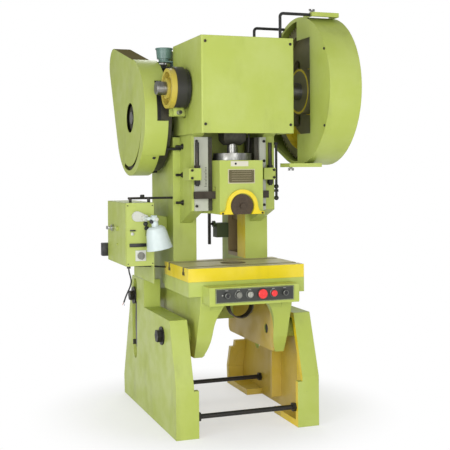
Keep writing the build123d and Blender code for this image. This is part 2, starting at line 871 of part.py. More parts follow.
def rod_nodes():
    """The connecting rod with its cap, and the ball screw that joins it to the ram."""
    shoulder_z = rod_neck_z + rod_shoulder
    joint_z = pin_z - cap_gap
    profile = outline(
        (-rod_foot_half, rod_foot_z), (rod_foot_half, rod_foot_z), (rod_neck_half, rod_foot_z + 22),
        (rod_neck_half, rod_neck_z), (rod_half, shoulder_z), (rod_half, joint_z), (-rod_half, joint_z),
        (-rod_half, shoulder_z), (-rod_neck_half, rod_neck_z), (-rod_neck_half, rod_foot_z + 22),
    )
    rod = front_plate(profile, crank_y - rod_ring_r, crank_y + rod_ring_r)
    side = hull((crank_y, pin_z), (crank_y, rod_foot_z + 40), rod_ring_r, rod_foot_half)
    rod &= side_plate(side, -2 * rod_half, 2 * rod_half)
    rod -= rod_x(crank_y, pin_z, pin_r + running_gap, -2 * rod_half, 2 * rod_half)
    rod -= rod_z(0, crank_y, screw_core_r, rod_foot_z - 1, shoulder_z + 20)
    parts["connecting_rod"] = rod
    far = 2 * rod_ring_r
    above = block(-rod_half, rod_half, crank_y - far, crank_y + far, pin_z, pin_z + far)
    cap = rod_x(crank_y, pin_z, rod_ring_r, -rod_half, rod_half) & above
    for side in (-1, 1):
        y0, y1 = sorted((crank_y + side * (pin_r + 4), crank_y + side * (rod_ring_r + 14)))
        cap += block(-rod_half, rod_half, y0, y1, pin_z, pin_z + 34)
    cap -= rod_x(crank_y, pin_z, pin_r + running_gap, -2 * rod_half, 2 * rod_half)
    parts["rod_cap"] = cap
    screw = rod_z(0, crank_y, screw_core_r, ball_z, shoulder_z + 10)
    screw += rod_z(0, crank_y, screw_r, ball_z + 20, rod_foot_z)
    screw += Pos(0, crank_y, ball_z) * Sphere(ball_r)
    parts["ball_screw"] = screw


def drive_train():
    """The drive shaft, the flywheel, the motor pulley and the V-belts between them."""
    shaft = rod_x(drive_y, drive_z, drive_r, fly_outer - 6, frame_half + 40)
    shaft += rod_x(drive_y, drive_z, drive_r - 2, frame_half + 40, gear_face_x + gear_width + 20)
    parts["drive_shaft"] = shaft
    middle = (fly_outer + fly_inner) / 2
    wheel = rod_x(drive_y, drive_z, fly_r, fly_outer, fly_inner)
    recess = disc(drive_y, drive_z, fly_r - fly_rim) - disc(drive_y, drive_z, fly_hub_r)
    wheel -= side_plate(recess, fly_outer - 1, middle - fly_web / 2)
    wheel -= side_plate(recess, middle + fly_web / 2, fly_inner + 1)
    pulley = rod_x(motor_y, motor_z, motor_pulley_r, fly_outer + 4, belt_first_x + belt_pitch * belt_count)
    ends = ((drive_y, drive_z), (motor_y, motor_z), fly_r, motor_pulley_r)
    groove = belt_h + 2 * seat_gap
    width = belt_w + 2 * seat_gap
    fly_groove, small_groove = (
        disc(y, z, r + 1) - disc(y, z, r - groove)
        for y, z, r in ((drive_y, drive_z, fly_r), (motor_y, motor_z, motor_pulley_r))
    )
    loops = []
    for i in range(belt_count):
        x = belt_first_x + belt_pitch * i
        wheel -= side_plate(fly_groove, x, x + width)
        pulley -= side_plate(small_groove, x, x + width)
        loops.append(side_plate(hull(*ends) - hull(*ends, belt_h), x + seat_gap, x + seat_gap + belt_w))
    wheel -= rod_x(drive_y, drive_z, drive_r, fly_outer - 1, fly_inner + 1)
    parts["flywheel"] = wheel
    parts["motor_pulley"] = pulley + rod_x(motor_y, motor_z, motor_shaft_r, fly_outer + 4, motor_left - 1)
    parts["v_belts"] = Compound(children=loops)


def motor_nodes():
    """The finned motor on its shelf behind the head, with a pedestal that carries the long shaft."""
    body = rod_x(motor_y, motor_z, motor_r, motor_left + end_bell, motor_right - end_bell)
    body += rod_x(motor_y, motor_z, motor_r - bell_step, motor_left, motor_left + end_bell)
    body += rod_x(motor_y, motor_z, motor_r - bell_step / 2, motor_right - end_bell, motor_right)
    fin_left, fin_right = motor_left + end_bell + 4, motor_right - end_bell - 4
    fin = block(fin_left, fin_right, motor_r - 4, motor_r + fin_high, -fin_half, fin_half)
    for i in range(fin_count):
        body += Pos(0, motor_y, motor_z) * Rot(360 * i / fin_count, 0, 0) * fin
    foot_z = motor_z - motor_r - 16
    x0, x1 = motor_left + 50, motor_right - 50
    body += block(x0, x1, motor_y - foot_half, motor_y + foot_half, foot_z, foot_z + foot_thick)
    body += block(x0, x1, motor_y - 60, motor_y + 60, foot_z + foot_thick, motor_z - motor_r + 30)
    middle = (motor_left + motor_right) / 2
    body += block(middle - 35, middle + 35, motor_y - 40, motor_y + 40, motor_z + 60, motor_z + motor_r + 30)
    parts["motor"] = body
    shelf_rear = motor_y + foot_half + 13
    shelf_z = foot_z - foot_thick
    shelf = block(shelf_left, motor_right, column_rear, shelf_rear, shelf_z, foot_z)
    gusset = outline((column_rear, shelf_z), (shelf_rear - 15, shelf_z), (column_rear, foot_z - gusset_deep))
    for x in (20 - head_outer, motor_right - 30):
        shelf += side_plate(gusset, x, x + foot_thick)
    back = (column_rear, column_rear + foot_thick, foot_z - gusset_deep, shelf_z)
    shelf += block(-head_outer, motor_right, *back)
    pedestal = block(pedestal_x, pedestal_x + pedestal_thick, motor_y - 40, motor_y + 40, foot_z, motor_z)
    pedestal += rod_x(motor_y, motor_z, 40, pedestal_x, pedestal_x + pedestal_thick)
    x0, x1 = pedestal_x - 1, pedestal_x + pedestal_thick + 1
    bore = rod_x(motor_y, motor_z, motor_shaft_r + running_gap, x0, x1)
    parts["motor_bracket"] = shelf + pedestal - bore


def ram_ridge(gap):
    """The V-shaped guide ridge of the ram's right side, in plan view."""
    root = ridge_half + gap + 1
    tip = ridge_tip_half + gap
    tip_x = ram_half + ridge_depth + gap
    root_x = ram_half - 1
    return outline(
        (root_x, ridge_y - root), (tip_x, ridge_y - tip), (tip_x, ridge_y + tip), (root_x, ridge_y + root)
    )


def ram_nodes():
    """The ram with its ball seat, and what it carries."""
    body = block(-ram_half, ram_half, ram_front, ram_rear, ram_bottom_z, ram_top_z)
    ridge = upright(ram_ridge(0), ram_bottom_z, ram_top_z)
    body += ridge + mirrored(ridge)
    seat_r = ball_r + 2
    cavity = make_hull((disc(0, crank_y, seat_r) + disc(0, crank_y + throw + 1, seat_r)).edges())
    body -= upright(cavity, ball_z - ball_r - 8, ram_top_z + 1)
    bar_slot_top = bar_bottom_z + bar_height + bar_travel + 1
    slot_front, slot_back = bar_y0 - bar_side_gap, bar_y0 + bar_thick + bar_side_gap
    body -= block(-ram_half - 1, ram_half + 1, slot_front, slot_back, bar_bottom_z - seat_gap, bar_slot_top)
    shank = rod_z(0, crank_y, shank_r, ram_bottom_z - 1, ram_bottom_z + shank_depth)
    jaw_high = shank_depth + clamp_head
    body -= shank
    seat = (ram_front - 1, crank_y, ram_bottom_z - 1, ram_bottom_z + jaw_high + bar_side_gap)
    body -= block(-clamp_half, clamp_half, *seat)
    parts["ram"] = body
    side = clamp_half - clamp_gap
    jaw = block(-side, side, ram_front, crank_y - 1, ram_bottom_z, ram_bottom_z + jaw_high) - shank
    far = 2 * arch_r
    above = outline((-far, ram_bottom_z), (far, ram_bottom_z), (far, ram_top_z), (-far, ram_top_z))
    disc_front = ram_front - clamp_disc_thick
    jaw += front_plate(disc(0, arch_window_z, clamp_disc_r) & above, disc_front, ram_front)
    jaw += hexagon_y(0, arch_window_z, clamp_nut_r, disc_front - clamp_nut_thick, disc_front)
    parts["shank_clamp"] = jaw
    foot_z = ram_bottom_z + arch_foot_high
    arch = disc(0, arch_window_z, arch_r) & above
    arch += outline(
        (-arch_foot_half, ram_bottom_z), (arch_foot_half, ram_bottom_z), (arch_foot_half, foot_z),
        (arch_r + 8, foot_z + 6), (arch_r, arch_window_z), (-arch_r, arch_window_z),
        (-arch_r - 8, foot_z + 6), (-arch_foot_half, foot_z),
    )
    arch -= disc(0, arch_window_z, arch_window_r)
    parts["clamp_arch"] = front_plate(arch, ram_front - arch_thick, ram_front)
    ring = rod_z(0, crank_y, gland_r, ram_top_z, ram_top_z + gland_thick)
    hole_r = screw_r + 2
    opening = make_hull((disc(0, crank_y, hole_r) + disc(0, crank_y + throw + 1, hole_r)).edges())
    parts["gland_ring"] = ring - upright(opening, ram_top_z - 1, ram_top_z + gland_thick + 1)
    bar_top = bar_bottom_z + bar_height
    parts["knockout_bar"] = block(bar_left, bar_right, bar_y0, bar_y0 + bar_thick, bar_bottom_z, bar_top)
    plate = block(-plate_label_half, plate_label_half, ram_front - 2, ram_front, label_low_z, label_high_z)
    for x in (label_pin - plate_label_half, plate_label_half - label_pin):
        for z in (label_low_z + label_pin, label_high_z - label_pin):
            plate += rod_y(x, z, 3, ram_front - 4, ram_front - 2)
    parts["name_plate"] = plate


def guide_nodes():
    """The V guides beside the ram, the gib plates over them, and the two knock-out stops."""
    groove = upright(ram_ridge(guide_gap), guide_bottom_z - 1, guide_top_z + 1)
    span = (head_front, ridge_y + guide_back, guide_bottom_z, guide_top_z)
    guide = block(ram_half + guide_gap, head_inner, *span) - groove
    parts["ram_guides"] = Compound(children=[guide, mirrored(guide)])
    gib_front = head_front - gib_thick
    span = (gib_front, head_front, guide_bottom_z, guide_top_z)
    left_gib = block(gib_thick - head_outer, -ram_half - gib_inset, *span)
    right_gib = block(ram_half + gib_inset - 3, head_inner + 9, *span)
    parts["gib_plates"] = Compound(children=[left_gib, right_gib])
    blocks, bolts = [], []
    for side, (outside, inside, bolt_in) in zip((-1, 1), stop_spans):
        x0, x1 = side * (head_outer - outside), side * (head_outer - inside)
        bolt_x = side * (head_outer - bolt_in)
        stop = block(x0, x1, head_front - stop_deep, gib_front, stop_low_z, stop_high_z)
        if abs(x0) > head_outer:
            stop += block(x0, side * head_outer, gib_front, head_front + 40, stop_low_z, stop_high_z)
        stop -= rod_z(bolt_x, stop_bolt_y, stop_bolt_r, stop_low_z - 1, stop_high_z + 1)
        blocks.append(stop)
        z0, z1 = stop_low_z - stop_bolt_down, stop_high_z + stop_bolt_up
        bolt = rod_z(bolt_x, stop_bolt_y, stop_bolt_r, z0, z1)
        bolt += hexagon_z(bolt_x, stop_bolt_y, stop_nut_r, stop_low_z - stop_head_thick, stop_low_z)
        bolt += hexagon_z(bolt_x, stop_bolt_y, stop_nut_r, stop_high_z, stop_high_z + stop_nut_thick)
        bolts.append(bolt)
    parts["stop_brackets"] = Compound(children=blocks)
    parts["stop_bolts"] = Compound(children=bolts)


def front_cover():
    """The folded sheet box over the crank, open at the back and below."""
    shell = block(-cover_half, cover_half, cover_front, cover_rear, cover_bottom_z, cover_top_z)
    shell = fillet(shell.edges().filter_by(Axis.Z).group_by(Axis.Y)[0], cover_bend)
    inner_half = cover_half - sheet
    inner_front = cover_front + sheet
    inner = (inner_front, cover_rear + 1, cover_bottom_z - 1, cover_top_z - sheet)
    shell -= block(-inner_half, inner_half, *inner)
    slot_half = boss_r / 2 + 14
    for side in (-1, 1):
        x0, x1 = side * (cover_half - 5), side * (cover_half + 1)
        shell -= rod_x(crank_y, crank_z, slot_half, x0, x1)
        shell -= block(x0, x1, crank_y, cover_rear + 1, crank_z - slot_half, crank_z + slot_half)
        shell -= block(x0, x1, crank_y + 22, crank_y + anchor_back + 6, crank_z - drum_r - 40, crank_z)
    hem = (inner_front, cover_front + cover_hem, cover_bottom_z, cover_bottom_z + sheet)
    shell += block(-inner_half, inner_half, *hem)
    parts["front_cover"] = shell


def left_guard():
    """The belt guard: a face with a hole and a crescent, a deep rim, and a sheet lapped round its front."""
    centres = ((drive_y, drive_z), (motor_y, motor_z), guard_l_r, guard_l_motor_r)
    whole = hull(*centres)
    face = whole - disc(drive_y, drive_z, guard_hole_r)
    crescent = disc(drive_y + 22, drive_z - 20, 240) - disc(drive_y + 16, drive_z - 10, 230)
    far = 2 * guard_l_r
    crescent &= outline(
        (drive_y, drive_z), (drive_y - far, drive_z - 0.06 * far), (drive_y - far, drive_z - far),
        (drive_y + far / 2, drive_z - far),
    )
    face -= crescent
    guard = side_plate(face, guard_l_face, guard_l_face + sheet)
    rim = whole - hull(*centres, sheet)
    guard += side_plate(rim, guard_l_face, guard_l_inner)
    guard += side_plate(whole - hull(*centres, guard_lip), guard_l_inner - sheet, guard_l_inner)
    wrap = disc(drive_y, drive_z, guard_l_r + sheet) - disc(drive_y, drive_z, guard_l_r)
    reach = [
        (drive_y + far * math.cos(math.radians(a)), drive_z + far * math.sin(math.radians(a)))
        for a in (wrap_high_deg, (wrap_high_deg + wrap_low_deg) / 2, wrap_low_deg)
    ]
    wrap &= outline((drive_y, drive_z), *reach)
    guard += side_plate(wrap, guard_l_face, guard_l_wrap)
    notch = (drive_y - far, drive_y, wrap_notch_low_z, wrap_notch_high_z)
    guard -= block(wrap_notch_x, guard_l_wrap + 1, *notch)
    parts["left_guard"] = guard


def guard_shelf(x0, x1, y0, y1, top_z, skirt):
    """A flat sheet shelf with a turned-down skirt on three sides."""
    low_z = top_z - skirt
    shelf = block(x0, x1, y0, y1, top_z - tab_thick, top_z)
    shelf += block(x0, x1, y0, y0 + tab_thick, low_z, top_z)
    for x in (x0, x1 - tab_thick):
        shelf += block(x, x + tab_thick, y0, y1, low_z, top_z)
    return shelf


def right_guard():
    """The gear guard: a drum open behind, with a notch round the crank end and two shelves."""
    centres = ((crank_y, crank_z), (drive_y, drive_z), guard_r_r, guard_r_pinion_r)
    whole = hull(*centres)
    guard = side_plate(whole - hull(*centres, sheet), guard_r_left, guard_r_right)
    guard += side_plate(whole, guard_r_right - sheet, guard_r_right)
    far = guard_r_r + 100
    low_z, high_z = crank_z - far, crank_z + far
    front_half = outline((crank_y - far, low_z), (crank_y, low_z), (crank_y, high_z), (crank_y - far, high_z))
    front = whole & front_half
    notch_rear = crank_y + 1
    front -= outline(
        (notch_front, notch_bottom_z), (notch_rear, notch_bottom_z), (notch_rear, notch_top_z),
        (notch_front, notch_top_z),
    )
    guard += side_plate(front, guard_r_left, guard_r_left + sheet)
    guard += side_plate(whole - hull(*centres, guard_lip), guard_r_left, guard_r_left + sheet)
    outside = guard_shelf(guard_r_left, tab_right, tab_front, tab_back, tab_top_z, tab_skirt)
    outside += guard_shelf(low_tab_left, low_tab_right, low_tab_front, low_tab_back, low_tab_z, low_tab_skirt)
    outside -= side_plate(hull(*centres, sheet), guard_r_left, guard_r_right)
    parts["right_guard"] = guard + outside


def guard_brackets():
    """Two bent bars from the cover to the gear guard, and three struts from the frame to the belt guard."""
    bars = []
    front = (cover_half - bar_front_in, bar_front_y, bar_front_z)
    rear = (cover_half - bar_rear_in, bar_rear_y, bar_rear_z)
    for x, y, z in (front, rear):
        path = FilletPolyline((x, y, cover_top_z), (x, y, z), (guard_r_left, y, z), radius=16)
        bars.append(sweep(Plane(origin=path @ 0, z_dir=path % 0) * Circle(guard_bar_r), path=path))
    for angle, wall_x in ((122, head_outer), (215, head_outer), (285, column_half)):
        reach = guard_l_r - guard_lip / 2 - 1
        y = drive_y + reach * math.cos(math.radians(angle))
        z = drive_z + reach * math.sin(math.radians(angle))
        bars.append(rod_x(y, z, guard_bar_r, guard_l_inner, -wall_x))
    parts["guard_brackets"] = Compound(children=bars)


def panel():
    """The push-button housing, its black plate and the buttons."""
    box = block(-panel_half, panel_half, panel_front, skirt_front, panel_bottom_z, panel_top_z)
    box = fillet(box.edges().filter_by(Axis.Y), 4)
    inner, low_z, high_z = panel_half - panel_wall, panel_bottom_z + panel_wall, panel_top_z - panel_wall
    box -= block(-inner, inner, panel_front + panel_wall, skirt_front + 1, low_z, high_z)
    face = block(-plate_half, plate_half, panel_front - plate_thin, panel_front, plate_low_z, plate_high_z)
    for name, x, r in zip(button_names, button_xs, button_rs):
        box -= rod_y(x, button_z, button_stem_r + 1.5, panel_front - 10, panel_front + 10)
        front = panel_front - plate_thin
        face += rod_y(x, button_z, r + 2, front - 4, front)
        face -= rod_y(x, button_z, button_stem_r + 0.4, front - 5, panel_front + 1)
        cap_back = front - 4 - button_travel - 0.5
        cap = rod_y(x, button_z, r, cap_back - 7, cap_back)
        cap = chamfer(cap.edges().group_by(Axis.Y)[0], 2)
        cap += rod_y(x, button_z, button_stem_r, cap_back, front + 12)
        if name == "mode_selector":
            cap += block(x - 3, x + 3, cap_back - 13, cap_back - 6, button_z - r + 2, button_z + r - 2)
        parts[name] = cap
    parts["panel_box"] = box
    parts["panel_plate"] = face


def box_bracket():
    """The strap that carries the electric box from the frame, and the wall plate that hangs below the box."""
    low_z = ebox_bottom_z - skirt_high
    plate = block(ebox_right - ebox_wall, ebox_right, ebox_front, ebox_rear, low_z, ebox_bottom_z + ebox_wall)
    strap_z = ebox_bottom_z + strap_rise
    high_z = strap_z + strap_high
    strap = outline(
        (ebox_right, strap_z), (ebox_right, high_z), (-column_half, high_z - strap_taper),
        (-column_half, strap_z + strap_taper),
    )
    return plate + front_plate(strap, strap_front, strap_front + strap_deep)


def electric_box():
    """The electric box with its door, lock, handle and socket."""
    wall = ebox_wall
    box = block(ebox_left, ebox_right, ebox_front, ebox_rear, ebox_bottom_z, ebox_top_z)
    inner_y = (ebox_front + wall, ebox_rear - wall)
    box -= block(ebox_left - 1, ebox_right - wall, *inner_y, ebox_bottom_z + wall, ebox_top_z - wall)
    door_back = ebox_left - door_gap
    door_face = door_back - door_thick
    door = block(door_face, door_back, ebox_front + 1, ebox_rear - 1, ebox_bottom_z + 1, ebox_top_z - 1)
    handle_y, handle_z = ebox_front + handle_back, ebox_bottom_z + handle_rise
    door -= rod_x(handle_y, handle_z, handle_pin_r + clamp_gap, ebox_left - 10, ebox_left + 10)
    lock_y = ebox_front + lock_back
    door += rod_x(lock_y, handle_z, lock_r, door_face - 9, door_face)
    door += rod_x(lock_y, ebox_bottom_z + pin_rise, pin_mark_r, door_face - 5, door_face)
    parts["box_door"] = door
    handle = rod_x(handle_y, handle_z, handle_pin_r, door_face - 20, ebox_left + 12)
    handle += rod_x(handle_y, handle_z, handle_r, door_face - 12, door_face - door_gap)
    grip = Pos(door_face - 26, handle_y, handle_z) * Box(12, 3.2 * handle_r, handle_r)
    handle += fillet(grip.edges().filter_by(Axis.X), handle_r / 4)
    parts["door_handle"] = handle
    left, low_z = ebox_left + socket_inset, ebox_bottom_z + socket_rise
    parts["socket"] = block(
        left, left + socket_high, ebox_rear, ebox_rear + socket_deep, low_z, low_z + socket_high
    )
    return box + box_bracket()


def box_switch(box):
    """The square plate of the rotary switch on the box's front, and the knob that turns in it."""
    x, z = ebox_left + switch_inset, ebox_bottom_z + switch_rise
    face = ebox_front - 5
    plate = block(x - switch_half, x + switch_half, face, ebox_front, z - switch_half, z + switch_half)
    stem_hole = rod_y(x, z, switch_stem_r, face - 1, ebox_front + ebox_wall + 1)
    parts["electric_box"] = box + plate - stem_hole
    knob = rod_y(x, z, switch_r, face - 12, face - door_gap)
    knob += rod_y(x, z, switch_stem_r - clamp_gap, face - 1, ebox_front)
    knob += block(x - 4, x + 4, face - 21, face - 11, z - switch_r, z + switch_r)
    parts["switch_knob"] = knob


def electrics():
    """The electric box and what is on it, with the gland where the cord comes out."""
    box_switch(electric_box())
    x, y = ebox_left + gland_inset_x, ebox_front + gland_inset_y
    gland = rod_z(x, y, gland_nut_r, ebox_bottom_z - gland_nut_long, ebox_bottom_z)
    parts["cable_gland"] = gland - rod_z(x, y, cord_r, ebox_bottom_z - gland_nut_long - 1, ebox_bottom_z + 1)


def tube(points, r):
    """A round tube along straight runs joined by arcs as large as the runs allow."""
    points = [Vector(*p) for p in points]
    radii = []
    for a, b, c in zip(points, points[1:], points[2:]):
        turn = (b - a).get_angle(c - b)
        run = min((b - a).length, (c - b).length)
        radii.append(0.45 * run / math.tan(math.radians(turn / 2)))
    path = FilletPolyline(*points, radius=radii)
    return sweep(Plane(origin=points[0], z_dir=points[1] - points[0]) * Circle(r), path=path)


def lamp_and_cord():
    """The work lamp on the electric box, and the short cord below it."""
    far = (ebox_right - lamp_base_far, lamp_arm_z + lamp_base_rise)
    base = hull(far, (lamp_post_x, lamp_arm_z), lamp_base_r, lamp_boss_r)
    boss_front = ebox_front - lamp_boss_long
    base = front_plate(base, ebox_front - lamp_base_thick, ebox_front)
    parts["lamp_base"] = base + rod_y(lamp_post_x, lamp_arm_z, lamp_boss_r, boss_front, ebox_front)
    arm = rod_y(lamp_post_x, lamp_arm_z, lamp_arm_r, lamp_y - lamp_arm_r, boss_front)
    arm += rod_x(lamp_y, lamp_arm_z, lamp_arm_r, lamp_post_x, lamp_x + shade_ear + 4)
    parts["lamp_arm"] = arm
    drop = shade_top - lamp_arm_z
    outer = [(r, drop + h) for r, h in shade_bell]
    inner = [(r - sheet, drop + h) for r, h in shade_bell[3:]]
    profile = outline(*outer, *reversed(inner), (0, drop - shade_crown))
    bell = revolve(Plane.XZ * profile, Axis.Z) + rod_z(0, 0, shade_neck_r, drop - 1, -lamp_arm_r - 4)
    shade = Pos(lamp_x, lamp_y, lamp_arm_z) * Rot(0, shade_lean, 0) * bell
    shade += rod_x(lamp_y, lamp_arm_z, shade_neck_r, lamp_x - shade_ear, lamp_x + shade_ear)
    x0, x1 = lamp_x - 2 * shade_ear, lamp_x + 2 * shade_ear
    shade -= rod_x(lamp_y, lamp_arm_z, lamp_arm_r + running_gap, x0, x1)
    parts["lamp_shade"] = shade
    points = [(-466, -120, 725), (-465, -121, 707), (-459, -124, 688), (-455, -126, 664), (-461, -127, 640),
              (-473, -127, 616), (-484, -127, 592), (-492, -126, 568)]
    parts["cord"] = tube(points, cord_r)


def slug_chute():
    """The short round spout that hangs under the bed in front of the slug hole."""
    ring = rod_y(0, chute_z, chute_r, chute_front, chute_rear)
    ring += block(-saddle_half, saddle_half, chute_front + 6, chute_rear - 6, chute_z, bed_bottom_z)
    parts["slug_chute"] = ring - rod_y(0, chute_z, chute_r - chute_wall, chute_front - 1, chute_rear + 1)


def lubrication():
    """The oil cup on its shelf on the head, and the hand pump in the throat."""
    shelf_x = -head_outer
    y0, y1 = cup_y - cup_shelf_half, cup_y + cup_shelf_half
    under = cup_z - cup_shelf_thick
    shelf = block(shelf_x - cup_shelf_out, shelf_x, y0, y1, under, cup_z)
    shelf += block(shelf_x - cup_shelf_thick, shelf_x, y0, y1, cup_z - cup_shelf_drop, under)
    cup_x = shelf_x - cup_out
    foot_r = cup_r * cup_taper
    low_z = cup_z + cup_neck
    rim_z = low_z + cup_high
    cup = rod_z(cup_x, cup_y, foot_r - 8, cup_z, low_z)
    cup += Pos(cup_x, cup_y, (low_z + rim_z) / 2) * Cone(foot_r, cup_r, cup_high)
    cup += rod_z(cup_x, cup_y, cup_r + 3, rim_z - 6, rim_z)
    cup -= rod_z(cup_x, cup_y, foot_r - cup_wall, low_z + cup_wall, rim_z + 1)
    parts["oil_cup"] = Compound(children=[shelf, cup])
    pump_left = column_inner - pump_wide
    pump = block(pump_left, column_inner, pump_y - pump_half, pump_y + pump_half, pump_low_z, pump_high_z)
    boss_left = pump_left - pump_boss_long
    parts["pump_body"] = pump + rod_x(pump_y, pump_z, pump_boss_r, boss_left, pump_left)
    lever_left = boss_left - 2 * lever_thick
    lever = rod_x(pump_y, pump_z, lever_r, lever_left, boss_left - boss_gap)
    x1, y0, y1 = lever_left + lever_thick, pump_y - lever_half, pump_y + lever_half
    lever += block(lever_left, x1, y0, y1, lever_low_z, lever_high_z)
    parts["pump_lever"] = lever


stand()
frame_nodes()
bolster()
gears()
crank_train()
brake_band()
rod_nodes()
drive_train()
motor_nodes()
ram_nodes()
guide_nodes()
front_cover()
left_guard()
right_guard()
guard_brackets()
panel()
electrics()
lamp_and_cord()
slug_chute()
lubrication()

os.makedirs("parts", exist_ok=True)
for name, shape in parts.items():
    export_step(shape, f"parts/{name}.step")
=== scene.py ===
"""Looks of an open-back crank press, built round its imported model.

Places are in metres, with X to the right, Y to the back and Z up.
"""

import logging
import math
from collections.abc import Sequence
from dataclasses import dataclass
from enum import Enum

import bmesh
import bpy
from mathutils import Matrix, Vector


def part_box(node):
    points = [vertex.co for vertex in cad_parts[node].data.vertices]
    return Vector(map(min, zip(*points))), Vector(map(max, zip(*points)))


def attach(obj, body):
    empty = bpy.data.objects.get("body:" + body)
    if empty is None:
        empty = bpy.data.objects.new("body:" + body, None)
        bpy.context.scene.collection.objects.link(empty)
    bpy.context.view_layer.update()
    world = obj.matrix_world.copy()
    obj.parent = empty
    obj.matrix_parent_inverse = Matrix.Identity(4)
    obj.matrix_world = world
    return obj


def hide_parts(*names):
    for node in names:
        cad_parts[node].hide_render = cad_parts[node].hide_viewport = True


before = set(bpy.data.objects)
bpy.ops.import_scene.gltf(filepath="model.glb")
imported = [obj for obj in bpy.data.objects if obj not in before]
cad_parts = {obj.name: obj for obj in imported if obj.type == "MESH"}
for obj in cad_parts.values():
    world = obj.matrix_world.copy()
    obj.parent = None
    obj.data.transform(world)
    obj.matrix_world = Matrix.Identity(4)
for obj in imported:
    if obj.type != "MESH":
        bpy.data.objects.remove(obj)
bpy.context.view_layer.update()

log = logging.getLogger("press")
Triple = tuple[float, float, float]
Pair = tuple[float, float]
Profile = tuple[Pair, ...]
Route = tuple[Triple, ...]

# Past the press in every direction.
FAR = 9.9

# How far a fitted piece is let into what carries it.
SUNK = 0.0005

# The colour inputs and the colour output of a mix node, by number.
FIRST_COLOUR = 6
SECOND_COLOUR = 7
MIXED_COLOUR = 2

# Outlines of screw heads as radius and height, for a head with a radius of one.
PAN_HEAD: Profile = (
    (0, 0), (1, 0), (1, 0.35), (0.85, 0.6), (0.5, 0.72), (0.28, 0.72), (0.28, 0.45), (0, 0.45),
)
SOCKET_HEAD: Profile = ((0, 0), (1, 0), (1, 0.95), (0.92, 1.05), (0.6, 1.05), (0.55, 0.5), (0, 0.5))
HEXAGON_WASHER: Profile = ((0, 0), (1.25, 0), (1.25, 0.12), (0, 0.12))
WING_STEM: Profile = ((0, 0), (1.5, 0), (1.5, 0.2), (1, 0.3), (0.8, 1.4), (0, 1.4))


class Facing(Enum):
    """The way in which a piece's own axis points."""

    RIGHT = (1.0, 0.0, 0.0)
    LEFT = (-1.0, 0.0, 0.0)
    BACK = (0.0, 1.0, 0.0)
    FRONT = (0.0, -1.0, 0.0)
    UP = (0.0, 0.0, 1.0)
    DOWN = (0.0, 0.0, -1.0)

    def matrix(self) -> Matrix:
        """The turn that carries the Z axis to this direction."""
        turn = Vector((0, 0, 1)).rotation_difference(Vector(self.value))
        return turn.to_matrix().to_4x4()


class Head(Enum):
    """The kinds of screw head on the press."""

    PAN = "pan"
    SOCKET = "socket"
    HEXAGON = "hexagon"


def srgb(red: int, green: int, blue: int) -> Triple:
    """Turns a colour of 0 to 255 a channel into scene values.

    Args:
        red: The red channel.
        green: The green channel.
        blue: The blue channel.

    Returns:
        The three values in linear light.
    """

    def linear(value: float) -> float:
        """One channel in linear light."""
        return value / 12.92 if value <= 0.04045 else ((value + 0.055) / 1.055) ** 2.4

    return (linear(red / 255), linear(green / 255), linear(blue / 255))


def scaled(profile: Sequence[Pair], size: float) -> list[Pair]:
    """The profile with both of its measures times a size."""
    return [(out * size, up * size) for out, up in profile]


def rod_profile(radius: float, length: float) -> list[Pair]:
    """The profile of a plain round rod."""
    return [(0, 0), (radius, 0), (radius, length), (0, length)]


